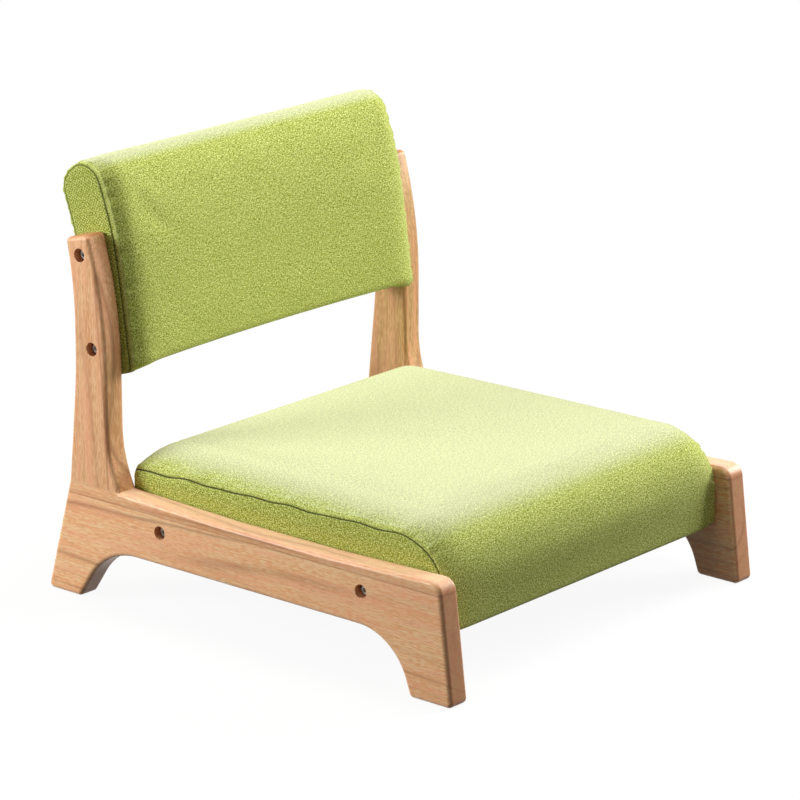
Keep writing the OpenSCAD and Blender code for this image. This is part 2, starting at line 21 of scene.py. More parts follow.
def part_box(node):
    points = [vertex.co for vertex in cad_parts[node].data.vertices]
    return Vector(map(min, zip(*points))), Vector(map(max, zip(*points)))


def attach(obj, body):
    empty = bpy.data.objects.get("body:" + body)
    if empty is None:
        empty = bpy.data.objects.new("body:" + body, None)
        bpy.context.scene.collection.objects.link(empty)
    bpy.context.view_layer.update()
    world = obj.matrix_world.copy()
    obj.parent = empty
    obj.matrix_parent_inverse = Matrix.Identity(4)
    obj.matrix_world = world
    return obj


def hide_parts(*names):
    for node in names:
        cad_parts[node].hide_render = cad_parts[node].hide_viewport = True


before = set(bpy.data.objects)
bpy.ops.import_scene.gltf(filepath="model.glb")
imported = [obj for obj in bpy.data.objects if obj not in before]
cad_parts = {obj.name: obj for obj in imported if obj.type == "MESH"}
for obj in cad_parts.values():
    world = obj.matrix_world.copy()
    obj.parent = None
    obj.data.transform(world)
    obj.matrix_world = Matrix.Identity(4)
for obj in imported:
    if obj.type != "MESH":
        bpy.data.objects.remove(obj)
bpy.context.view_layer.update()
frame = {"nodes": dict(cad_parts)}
LOG = logging.getLogger("floor_chair")
MM = 0.001


class Side(Enum):
    """A side of the chair, by the sign of its X."""

    LEFT = -1
    RIGHT = 1


class Grain(Enum):
    """The way wood's fibres run, as the axes along, across and deep into it."""

    ACROSS = (0, 2, 1)
    ALONG = (1, 2, 0)
    UP = (2, 1, 0)


def maths(operation: str, swapped: bool = False) -> Callable[..., "Signal"]:
    """Return a method that makes a Math node for a signal and maybe another value.

    Args:
        operation: The node's operation.
        swapped: True where the other value comes first.
    """

    def method(self: "Signal", *other: "Signal | float") -> "Signal":
        """Return the node's result."""
        values = (*other, self) if swapped else (self, *other)
        return self.graph.node("Math", dict(enumerate(values)), operation=operation)

    return method


class Signal:
    """A node's output that takes part in sums."""

    def __init__(self, graph: "Graph", socket: NodeSocket) -> None:
        """Keep the output and the graph that it belongs to."""
        self.graph = graph
        self.socket = socket

    # The sums that the looks need, with their reflected forms.
    __add__ = __radd__ = maths("ADD")
    __sub__ = maths("SUBTRACT")
    __rsub__ = maths("SUBTRACT", swapped=True)
    __mul__ = __rmul__ = maths("MULTIPLY")
    __truediv__ = maths("DIVIDE")
    __pow__ = maths("POWER")
    __abs__ = maths("ABSOLUTE")
    root = maths("SQRT")
    sine = maths("SINE")

    def wave(self) -> "Signal":
        """Return 0 to 1 and back for each 1 that self grows by."""
        return (self * (2 * math.pi)).sine() * 0.5 + 0.5

    def step(self, low: float, high: float) -> "Signal":
        """Return a smooth rise from 0 at low to 1 at high, which may lie below low."""
        sockets = {0: self, 1: low, 2: high}
        return self.graph.node("MapRange", sockets, interpolation_type="SMOOTHSTEP")


class Graph:
    """A node tree and the way in which it is filled."""

    def __init__(self, tree: NodeTree) -> None:
        """Keep the tree."""
        self.tree = tree

    def add(
        self, kind: str, sockets: dict | None = None, **settings: object
    ) -> Node:
        """Add a node.

        Args:
            kind: The node's type, where ShaderNode may be left out.
            sockets: Values or signals of its inputs, by number or name.
            settings: Its properties, which are set first.

        Returns:
            The node.
        """
        made = self.tree.nodes.new(kind if "Node" in kind else "ShaderNode" + kind)
        for key, value in settings.items():
            setattr(made, key, value)
        for key, value in (sockets or {}).items():
            if isinstance(value, Signal):
                self.tree.links.new(value.socket, made.inputs[key])
            else:
                made.inputs[key].default_value = value
        return made

    def node(
        self,
        kind: str,
        sockets: dict | None = None,
        out: int | str = 0,
        **settings: object,
    ) -> Signal:
        """Add a node as add() does and return one of its outputs."""
        return Signal(self, self.add(kind, sockets, **settings).outputs[out])

    def seen(self) -> Signal:
        """Return 1 for what the camera sees, also by mirrors and through glass."""
        path = self.add("LightPath").outputs
        camera, glossy, through = (
            Signal(self, path[f"Is {kind} Ray"])
            for kind in ("Camera", "Glossy", "Transmission")
        )
        return (camera + glossy + through).step(0.0, 1.0)


class Paint(Graph):
    """One procedural material."""

    def __init__(self, name: str) -> None:
        """Start the material called name with an empty node tree."""
        self.material = bpy.data.materials.new(name)
        self.material.use_nodes = True
        super().__init__(self.material.node_tree)
        self.tree.nodes.clear()

    def place(self) -> Signal:
        """Return the object's own coordinates."""
        return self.node("TexCoord", out="Object")

    def facing(self) -> list[Signal]:
        """Return the X, Y and Z of the way that the surface faces."""
        return self.parts(self.node("NewGeometry", out="Normal"))

    def mix(
        self, share: Signal | float, first: Signal | tuple, second: Signal | tuple
    ) -> Signal:
        """Return two colours mixed, with share of the second."""
        sockets = {0: share, 6: first, 7: second}
        return self.node("Mix", sockets, 2, data_type="RGBA")

    def stretched(self, source: Signal, scale: Sequence[float]) -> Signal:
        """Return coordinates multiplied along each axis."""
        return self.node("VectorMath", {0: source, 1: scale}, operation="MULTIPLY")

    def noise(
        self,
        source: Signal,
        scale: Sequence[float],
        detail: float = 2.0,
        rough: float = 0.5,
    ) -> Signal:
        """Return smooth noise from 0 to 1.

        Args:
            source: The coordinates.
            scale: Cells per metre along each axis.
            detail: How many finer octaves are added.
            rough: How strong each finer octave is.
        """
        vector = self.stretched(source, scale)
        sockets = {"Vector": vector, "Scale": 1.0, "Detail": detail, "Roughness": rough}
        return self.node("TexNoise", sockets)

    def parts(self, source: Signal) -> list[Signal]:
        """Return the three parts of a vector."""
        return [Signal(self, out) for out in self.add("SeparateXYZ", {0: source}).outputs]

    def bump(self, height: Signal, depth: float, strength: float = 1.0) -> Signal:
        """Return a normal for a height from 0 to 1 that is depth metres."""
        return self.node(
            "Bump", {"Height": height, "Distance": depth, "Strength": strength}
        )

    def finish(self, shader: Signal) -> Material:
        """Join a shader to the material's output and return the material."""
        self.add("OutputMaterial", {0: shader})
        return self.material


def colour(red: int, green: int, blue: int) -> tuple[float, float, float, float]:
    """Return a colour as it is seen, from 0 to 255, in the renderer's values."""

    def linear(part: int) -> float:
        """Return one part of the colour."""
        share = part / 255
        return share / 12.92 if share <= 0.04045 else ((share + 0.055) / 1.055) ** 2.4

    return (linear(red), linear(green), linear(blue), 1.0)


@dataclass(frozen=True)
class Finish:
    """The look of one kind of material."""

    name: str

    def make(self) -> Material:
        """Return the material."""
        paint = Paint(self.name)
        return paint.finish(paint.node("BsdfPrincipled", self.surface(paint)))

    def surface(self, paint: Paint) -> dict:
        """Return what goes into the shader's sockets, by their names."""
        raise NotImplementedError


@dataclass(frozen=True)
class Wood(Finish):
    """Light hardwood with fine fibres, pores and a few growth lines.

    Attributes:
        pith: Where the tree's heart lies, sideways out of the face and across it.
        ring: Distance between growth lines.
        tilt: How fast the growth lines run out along the grain.
        figure: How dark they are.
        glue_line: Height at which two strips of a board are glued together.
        painted_top_light: How far the wood is painted lighter where it faces up, a painted
            highlight of the light from above.
    """

    grain: Grain
    light: tuple = colour(255, 214, 164)
    mid: tuple = colour(242, 176, 120)
    rose: tuple = colour(250, 178, 138)
    dark: tuple = colour(150, 90, 50)
    end: tuple = colour(176, 104, 54)
    pore: tuple = colour(150, 96, 58)
    # Colour of the painted highlight on faces that look up.
    pale: tuple = colour(248, 226, 204)
    painted_top_light: float = 0.0
    pith: tuple[float, float] = (0.10, 0.075)
    ring: float = 0.0052
    tilt: float = 0.009
    figure: float = 0.55
    streak: float = 0.9
    roughness: float = 0.42
    lacquer: float = 0.2
    glue_line: float | None = None
    seed: float = 0.20

    def surface(self, paint: Paint) -> dict:
        """Return the wood's sockets."""
        place = paint.place()
        parts = paint.parts(place)
        along, across, deep = (parts[axis] for axis in self.grain.value)
        shift: Signal | float = self.seed
        strip: Signal | float = 0.0
        if self.glue_line is not None:
            strip = parts[2].step(self.glue_line - 0.0001, self.glue_line + 0.0001)
            shift = strip * 3.7 + self.seed
        fibre = paint.node(
            "CombineXYZ", {0: along + shift, 1: across + shift * 0.31, 2: deep}
        )
        drift = paint.noise(fibre, (3.5, 14, 14)) - 0.5
        side = across - self.pith[1] + drift * 0.016
        far = abs(deep) * 0.2 + self.pith[0]
        radius = (side * side + far * far).root() + along * self.tilt + drift * 0.0022
        line = (radius / self.ring + shift).wave()
        patch = paint.noise(fibre, (5, 30, 30)).step(0.36, 0.66)
        rings = (line**14.0 * 0.8 + line**3.0 * 0.22) * (patch * 0.8 + 0.2)
        broad = paint.noise(fibre, (3, 34, 34))
        bands = paint.noise(fibre, (2.4, 120, 120))
        streaks = paint.noise(fibre, (22, 520, 520), 3.0)
        flecks = paint.noise(fibre, (110, 900, 900), 1.0)
        pores = paint.noise(fibre, (75, 1100, 1100), 1.0).step(0.58, 0.72)
        tone = (
            (streaks - 0.5) * (self.streak * 2.0)
            + (flecks - 0.5) * 2.6
            + (bands - 0.5) * 0.9
            + (broad - 0.5) * 0.6
            + 0.5
        )
        body = paint.mix(tone.step(0.0, 1.0), self.mid, self.light)
        warm = paint.noise(fibre, (9, 110, 110)).step(0.42, 0.68)
        body = paint.mix(warm * 0.45, body, self.rose)
        body = paint.mix(rings * self.figure, body, self.dark)
        body = paint.mix(pores * 0.34, body, self.pore)
        if self.glue_line is not None:
            body = paint.mix(strip * 0.08, body, self.dark)
            waver = (streaks - 0.5) * 0.0012
            gap = abs(parts[2] - self.glue_line + waver).step(0.0011, 0.0002)
            band = (parts[2] - self.glue_line + waver * 3).step(0.0105, 0.0)
            body = paint.mix(gap * 0.42 + band * strip * 0.16, body, self.dark)
        facing = paint.facing()
        cut = abs(facing[self.grain.value[0]])
        body = paint.mix(cut.step(0.5, 0.95) * 0.58, body, self.end)
        # Painted highlight: faces that look up are mixed towards pale, as if lit from
        # above.
        body = paint.mix(facing[2].step(0.6, 1.0) * self.painted_top_light, body, self.pale)
        worn = paint.noise(place, (14, 14, 14), 3.0)
        height = streaks * 0.25 + (1 - pores) * 0.75
        return {
            "Base Color": body,
            "Roughness": worn * 0.14 + (self.roughness - 0.07) + pores * 0.12,
            "Coat Weight": self.lacquer,
            "Coat Roughness": 0.3,
            "Specular IOR Level": 0.3,
            "Normal": paint.bump(height, 0.06 * MM, 0.5),
        }


@dataclass(frozen=True)
class Linen(Finish):
    """Heathered linen-look upholstery cloth on a map of its length and width.

    Attributes:
        seam_highlight: How strongly the cloth's ridge beside a seam is painted lighter, a
            painted highlight where it would catch the light.
        line: How dark a seam's line is, as painted shade of the seam's groove together with
            the thread's dark colour.
        diagonal: How strongly the weave's diagonals show on the end panels.
        contrast: How strongly the yarns' tones differ.
        painted_top_light: How far the cloth is painted paler where it faces up, a painted
            highlight of the light from above.
        rib: Distance between the diagonals.
    """

    seam_highlight: float = 0.18
    line: float = 0.94
    diagonal: float = 0.0
    contrast: float = 1.0
    light: tuple = colour(234, 242, 160)
    mid: tuple = colour(186, 196, 84)
    dark: tuple = colour(110, 122, 18)
    # Colour of the seams' dark line: painted shade of the groove together with the thread.
    seam: tuple = colour(26, 30, 2)
    # Colour of the painted highlight on cloth that faces up.
    pale: tuple = colour(229, 230, 216)
    painted_top_light: float = 0.42
    yarn: float = 0.0008
    rib: float = 0.0042

    def surface(self, paint: Paint) -> dict:
        """Return the cloth's sockets."""
        place = paint.node("UVMap", uv_map="cloth")
        u, v, _ = paint.parts(place)
        wobble = paint.noise(place, (70, 70, 1)) - 0.5
        warp = (u + wobble * 0.0005) / self.yarn
        weft = (v + wobble * 0.0005) / self.yarn
        over = ((warp + weft) / 2).wave().step(0.3, 0.7)
        height = warp.wave() * over + weft.wave() * (1 - over)
        warp_tone = paint.noise(place, (900, 210, 1), 1.0)
        weft_tone = paint.noise(place, (210, 900, 1), 1.0)
        yarns = warp_tone * over + weft_tone * (1 - over)
        fleck = paint.noise(place, (720, 720, 1), 2.0, 0.7)
        cloud = paint.noise(place, (26, 26, 1), 3.0)
        gap = paint.node("Attribute", out="Fac", attribute_name="seam_gap")
        panel = gap.step(-0.0004, -0.0016)
        ribs = ((u + v) / self.rib).wave() * ((u - v) / self.rib).wave() - 0.25
        tone = (
            0.5
            + (yarns - 0.5) * (1.8 * self.contrast)
            + (fleck - 0.5) * (3.4 * self.contrast)
            + (height - 0.5) * (0.35 * self.contrast)
            + (cloud - 0.5) * 0.16
            # Painted shade: the end panels, which face sideways, are painted 0.08 darker in
            # tone.
            + (ribs * self.diagonal - 0.08) * panel
        )
        body = paint.mix(tone.step(0.0, 0.58), self.dark, self.mid)
        body = paint.mix(tone.step(0.5, 1.05), body, self.light)
        # Painted highlight: the cloth turns pale where it faces up, as if lit from above.
        up = paint.facing()[2].step(0.66, 1.0)
        body = paint.mix(up * self.painted_top_light, body, self.pale)
        # Painted highlight: a light line on the cloth just beside each seam, where its
        # ridge would catch the light.
        seam_highlight = abs(gap - 0.0019).step(0.0011, 0.0002)
        body = paint.mix(seam_highlight * self.seam_highlight, body, self.light)
        # Painted shade: each seam is drawn as a dark line, the shade of its groove together
        # with the thread's dark colour.
        body = paint.mix(abs(gap).step(0.0008, 0.0001) * self.line, body, self.seam)
        fuzz = paint.noise(place, (1700, 1700, 1), 1.0)
        return {
            "Base Color": body,
            "Roughness": 0.8 + fuzz * 0.15,
            "Specular IOR Level": 0.2,
            "Sheen Weight": 0.5,
            "Sheen Roughness": 0.35,
            "Sheen Tint": colour(240, 246, 186),
            "Normal": paint.bump(height * 0.75 + fuzz * 0.15, 0.2 * MM, 0.5),
        }


@dataclass(frozen=True)
class Steel(Finish):
    """Bright zinc plate with fine turning marks."""

    name: str = "zinc_steel"
    light: tuple = colour(205, 205, 200)
    dark: tuple = colour(150, 150, 146)

    def surface(self, paint: Paint) -> dict:
        """Return the metal's sockets."""
        place = paint.place()
        marks = paint.noise(place, (6000, 900, 900))
        bloom = paint.noise(place, (260, 260, 260), 3.0)
        return {
            "Base Color": paint.mix(bloom, self.dark, self.light),
            "Metallic": 1.0,
            "Roughness": 0.26 + bloom * 0.2,
            "Normal": paint.bump(marks, 0.01 * MM, 0.4),
        }


@dataclass(frozen=True)
class Foam(Finish):
    """Open-cell upholstery foam."""

    name: str = "pale_foam"
    light: tuple = colour(238, 226, 176)
    dark: tuple = colour(196, 178, 120)

    def surface(self, paint: Paint) -> dict:
        """Return the foam's sockets."""
        place = paint.place()
        vector = paint.stretched(place, (900, 900, 900))
        cells = paint.node("TexVoronoi", {"Vector": vector})
        cloud = paint.noise(place, (30, 30, 30), 3.0)
        return {
            "Base Color": paint.mix(cells * 0.8 + cloud * 0.3, self.dark, self.light),
            "Roughness": 0.9,
            "Normal": paint.bump(cells, 0.3 * MM),
        }


@dataclass(frozen=True)
class Webbing(Finish):
    """Woven elastic webbing with coloured lines, which runs along a grain."""

    along: Grain
    dark: tuple = colour(46, 48, 52)
    light: tuple = colour(78, 80, 84)
    line: tuple = colour(196, 120, 60)
    rib: float = 0.0016

    def surface(self, paint: Paint) -> dict:
        """Return the webbing's sockets."""
        place = paint.place()
        x, y, _ = paint.parts(place)
        run, width = (x, y) if self.along is Grain.ACROSS else (y, x)
        ribs = (run / self.rib).wave()
        threads = (width / (self.rib * 0.7)).wave()
        grey = paint.noise(place, (300, 300, 300))
        body = paint.mix(grey, self.dark, self.light)
        return {
            "Base Color": paint.mix(threads.step(0.97, 1.0) * 0.6, body, self.line),
            "Roughness": 0.75 + grey * 0.1,
            "Normal": paint.bump(ribs * 0.6 + threads * 0.4, 0.3 * MM),
        }


@dataclass(frozen=True)
class DustCloth(Finish):
    """Spun-bonded black lining with its pattern of weld dots."""

    name: str = "black_dust_cloth"
    dark: tuple = colour(30, 30, 32)
    light: tuple = colour(58, 58, 60)
    dot: float = 0.0022

    def surface(self, paint: Paint) -> dict:
        """Return the lining's sockets."""
        place = paint.place()
        x, y, _ = paint.parts(place)
        dots = ((x / self.dot).wave() * (y / self.dot).wave()).step(0.55, 0.85)
        fibres = paint.noise(place, (700, 240, 700), 4.0)
        folds = paint.noise(place, (9, 7, 9), 3.0)
        height = fibres * 0.12 + (1 - dots) * 0.08 + folds * 0.8
        return {
            "Base Color": paint.mix(fibres, self.dark, self.light),
            "Roughness": 0.7 + fibres * 0.2 - dots * 0.15,
            "Normal": paint.bump(height, 1.6 * MM, 0.6),
        }


@dataclass(frozen=True)
class Plywood(Finish):
    """Moulded plywood with its glued layers on the edges."""

    name: str = "moulded_plywood"
    light: tuple = colour(226, 196, 150)
    dark: tuple = colour(160, 118, 76)
    layer: float = 0.0013

    def surface(self, paint: Paint) -> dict:
        """Return the plywood's sockets."""
        place = paint.place()
        _, y, _ = paint.parts(place)
        layers = (y / self.layer).wave().step(0.45, 0.6)
        streaks = paint.noise(place, (12, 300, 300), 3.0)
        body = paint.mix(streaks, self.dark, self.light)
        return {
            "Base Color": paint.mix(layers * 0.25, body, self.dark),
            "Roughness": 0.62 + streaks * 0.15,
            "Normal": paint.bump(streaks, 0.1 * MM, 0.5),
        }


@dataclass(frozen=True)
class Thread(Finish):
    """Twisted sewing thread."""

    name: str = "sewing_thread"
    light: tuple = colour(104, 116, 44)
    dark: tuple = colour(64, 74, 20)

    def surface(self, paint: Paint) -> dict:
        """Return the thread's sockets."""
        twist = paint.noise(paint.place(), (2600, 2600, 2600), 1.0)
        return {
            "Base Color": paint.mix(twist, self.dark, self.light),
            "Roughness": 0.55 + twist * 0.2,
            "Normal": paint.bump(twist, 0.1 * MM, 0.5),
        }


def link(name: str, data: ID) -> Object:
    """Return a new object that holds data, linked to the scene."""
    made = bpy.data.objects.new(name, data)
    bpy.context.scene.collection.objects.link(made)
    return made


def new_piece(
    name: str, points: Sequence, faces: Sequence = (), edges: Sequence = ()
) -> Object:
    """Return an object at the origin with the given mesh.

    Args:
        name: The piece's name.
        points: Its vertices in the chair's frame.
        faces: Its faces as vertex numbers.
        edges: Its loose edges as vertex numbers.
    """
    mesh = bpy.data.meshes.new(name)
    mesh.from_pydata([tuple(map(float, p)) for p in points], edges, faces)
    mesh.update()
    return link(name, mesh)


def settle(piece: Object) -> None:
    """Turn a piece's modifiers into plain mesh."""
    bpy.context.view_layer.update()
    graph = bpy.context.evaluated_depsgraph_get()
    made = bpy.data.meshes.new_from_object(
        piece.evaluated_get(graph), preserve_all_data_layers=True, depsgraph=graph
    )
    piece.modifiers.clear()
    old = piece.data
    piece.data = made
    made.name = piece.name
    if old.users == 0:
        bpy.data.meshes.remove(old)


def wear(piece: Object, material: Material) -> None:
    """Make a material the piece's only one."""
    piece.data.materials.clear()
    piece.data.materials.append(material)


def dress(
    piece: Object,
    material: Material | None,
    nodes: Sequence[str] = (),
) -> None:
    """Give a finished piece its material, its body and what it stands for.

    Args:
        piece: The finished piece.
        material: Its material, or None to keep those it has.
        nodes: The CAD nodes that it replaces.
    """
    if material is not None:
        wear(piece, material)
    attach(piece, "root")
    if nodes:
        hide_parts(*nodes)
    LOG.info("%s: %d faces", piece.name, len(piece.data.polygons))


def read(items: Sequence, key: str, width: int = 3) -> np.ndarray:
    """Return one value of all of a mesh's vertices or of an attribute's items.

    Args:
        items: The vertices or the attribute's data.
        key: The value's name.
        width: How many numbers it has.

    Returns:
        A row for each item, or only a number where width is 1.
    """
    values = np.zeros(len(items) * width, np.float32)
    items.foreach_get(key, values)
    return values.astype(float).reshape((-1, width) if width > 1 else -1)


def stored(mesh: Mesh, name: str) -> np.ndarray:
    """Return the number that store() gave to each point."""
    return read(mesh.attributes[name].data, "value", 1)


def store(mesh: Mesh, name: str, values: Sequence) -> None:
    """Give each point of a mesh a number or a vector under a name."""
    rows = np.array(values, np.float32)
    kind, key = ("FLOAT", "value") if rows.ndim == 1 else ("FLOAT_VECTOR", "vector")
    mesh.attributes.new(name, kind, "POINT").data.foreach_set(key, rows.ravel())


def move(mesh: Mesh, co: np.ndarray) -> None:
    """Put a mesh's vertices at co."""
    mesh.vertices.foreach_set("co", co.astype(np.float32).ravel())
    mesh.update()


@dataclass(frozen=True)
class Corner:
    """A corner of a sawn outline and the radius that it is sawn to."""

    y: float
    z: float
    radius: float = 0.0


@dataclass
class Outline:
    """A closed sawn outline, anticlockwise seen from +X.

    Attributes:
        points: The corners in Y and Z.
        square: True for each edge whose arris stays square, as at a glued joint.
    """

    points: np.ndarray
    square: np.ndarray

    @classmethod
    def rounded(cls, corners: Sequence[Corner], turn_step: float = 4.0) -> "Outline":
        """Return the outline through corners, with their radii.

        Args:
            corners: The corners in order. Two in a row with radius 0 have a
                square arris between them.
            turn_step: Degrees between points on a radius.
        """
        points: list[np.ndarray] = []
        square: list[bool] = []
        places = [np.array((c.y, c.z)) for c in corners]
        for i, corner in enumerate(corners):
            here, following = places[i], (i + 1) % len(corners)
            if corner.radius == 0:
                points.append(here)
                square.append(corners[following].radius == 0)
                continue
            before, after = here - places[i - 1], places[following] - here
            before = before / np.linalg.norm(before)
            after = after / np.linalg.norm(after)
            turn = math.atan2(
                before[0] * after[1] - before[1] * after[0], float(before @ after)
            )
            start = here - before * corner.radius * math.tan(abs(turn) / 2)
            inward = np.array((-before[1], before[0])) * math.copysign(1, turn)
            centre = start + inward * corner.radius
            arm = start - centre
            steps = max(3, math.ceil(abs(math.degrees(turn)) / turn_step))
            for k in range(steps + 1):
                c, s = math.cos(turn * k / steps), math.sin(turn * k / steps)
                points.append(centre + (arm[0] * c - arm[1] * s, arm[0] * s + arm[1] * c))
                square.append(False)
        return cls(np.array(points), np.array(square))

    def inset(self, amount: float) -> np.ndarray:
        """Return the points moved in by amount from every edge that isn't square."""
        ahead = np.roll(self.points, -1, 0) - self.points
        ahead /= np.linalg.norm(ahead, axis=1, keepdims=True)
        inward = np.stack((-ahead[:, 1], ahead[:, 0]), 1)
        push = np.where(self.square, 0.0, amount)
        last, last_push = np.roll(inward, 1, 0), np.roll(push, 1)
        det = last[:, 0] * inward[:, 1] - last[:, 1] * inward[:, 0]
        turns = np.abs(det) > 1e-3
        safe = np.where(turns, det, 1.0)
        y = (last_push * inward[:, 1] - push * last[:, 1]) / safe
        z = (last[:, 0] * push - inward[:, 0] * last_push) / safe
        mean = last + inward
        mean /= np.linalg.norm(mean, axis=1, keepdims=True)
        straight = mean * ((push + last_push) / 2)[:, None]
        return self.points + np.where(turns[:, None], np.stack((y, z), 1), straight)


@dataclass(frozen=True)
class Bore:
    """A counterbored screw hole through a side frame."""

    y: float
    z: float
    wide: float = 0.0075
    deep: float = 0.016
    narrow: float = 0.0033
    lip: float = 0.0005
    sides: int = 48

    def rings(self, outer: float, inner: float) -> list[tuple[float, np.ndarray]]:
        """Return the hole's rings as (x, points), from the outer face inwards."""
        turn = np.linspace(0, 2 * math.pi, self.sides, endpoint=False)
        circle = np.stack((np.cos(turn), np.sin(turn)), 1)
        middle = np.array((self.y, self.z))
        into = math.copysign(1, inner - outer)
        steps = (
            (outer, self.wide + self.lip),
            (outer + into * self.lip * 0.4, self.wide + self.lip * 0.25),
            (outer + into * self.lip, self.wide),
            (outer + into * self.deep, self.wide),
            (outer + into * self.deep, self.narrow),
            (inner, self.narrow),
        )
        return [(x, middle + circle * r) for x, r in steps]


@dataclass
class SawnPiece:
    """A board sawn to an outline, with its arrises rounded over."""

    name: str
    outline: Outline
    outer: float
    inner: float
    bores: Sequence[Bore] = ()
    arris: float = 0.005
    arris_steps: int = 5
    sharp_angle: float = 32.0

    def rings(self) -> list[tuple[float, np.ndarray]]:
        """Return the outer wall's rings as (x, points), from the outer face inwards."""
        into = math.copysign(1, self.inner - self.outer)
        turns = [math.pi / 2 * k / self.arris_steps for k in range(self.arris_steps + 1)]
        steps = [
            (self.arris * (1 - math.cos(a)), self.arris * (1 - math.sin(a))) for a in turns
        ]
        near = [(self.outer + into * x, self.outline.inset(back)) for x, back in steps]
        far = [(self.inner - into * x, self.outline.inset(back)) for x, back in steps]
        return near + far[::-1]

    def build(self) -> Object:
        """Return the closed piece with smooth arrises and crisp holes."""
        bm = bmesh.new()
        walls = [self.rings()] + [bore.rings(self.outer, self.inner) for bore in self.bores]
        caps: tuple[list, list] = ([], [])
        for wall in walls:
            loops = [[bm.verts.new((x, y, z)) for y, z in points] for x, points in wall]
            for low, high in zip(loops, loops[1:], strict=False):
                for i in range(len(low)):
                    j = (i + 1) % len(low)
                    bm.faces.new((low[i], low[j], high[j], high[i]))
            for cap, loop in zip(caps, (loops[0], loops[-1]), strict=True):
                cap += [bm.edges.get((loop[i - 1], loop[i])) for i in range(len(loop))]
        for cap in caps:
            bmesh.ops.triangle_fill(bm, use_beauty=True, edges=cap)
        bmesh.ops.remove_doubles(bm, verts=bm.verts, dist=1e-6)
        bmesh.ops.recalc_face_normals(bm, faces=bm.faces)
        mesh = bpy.data.meshes.new(self.name)
        bm.to_mesh(mesh)
        bm.free()
        mesh.shade_smooth()
        mesh.set_sharp_from_angle(angle=math.radians(self.sharp_angle))
        piece = link(self.name, mesh)
        piece.modifiers.new("face_normals", "WEIGHTED_NORMAL").keep_sharp = True
        settle(piece)
        return piece


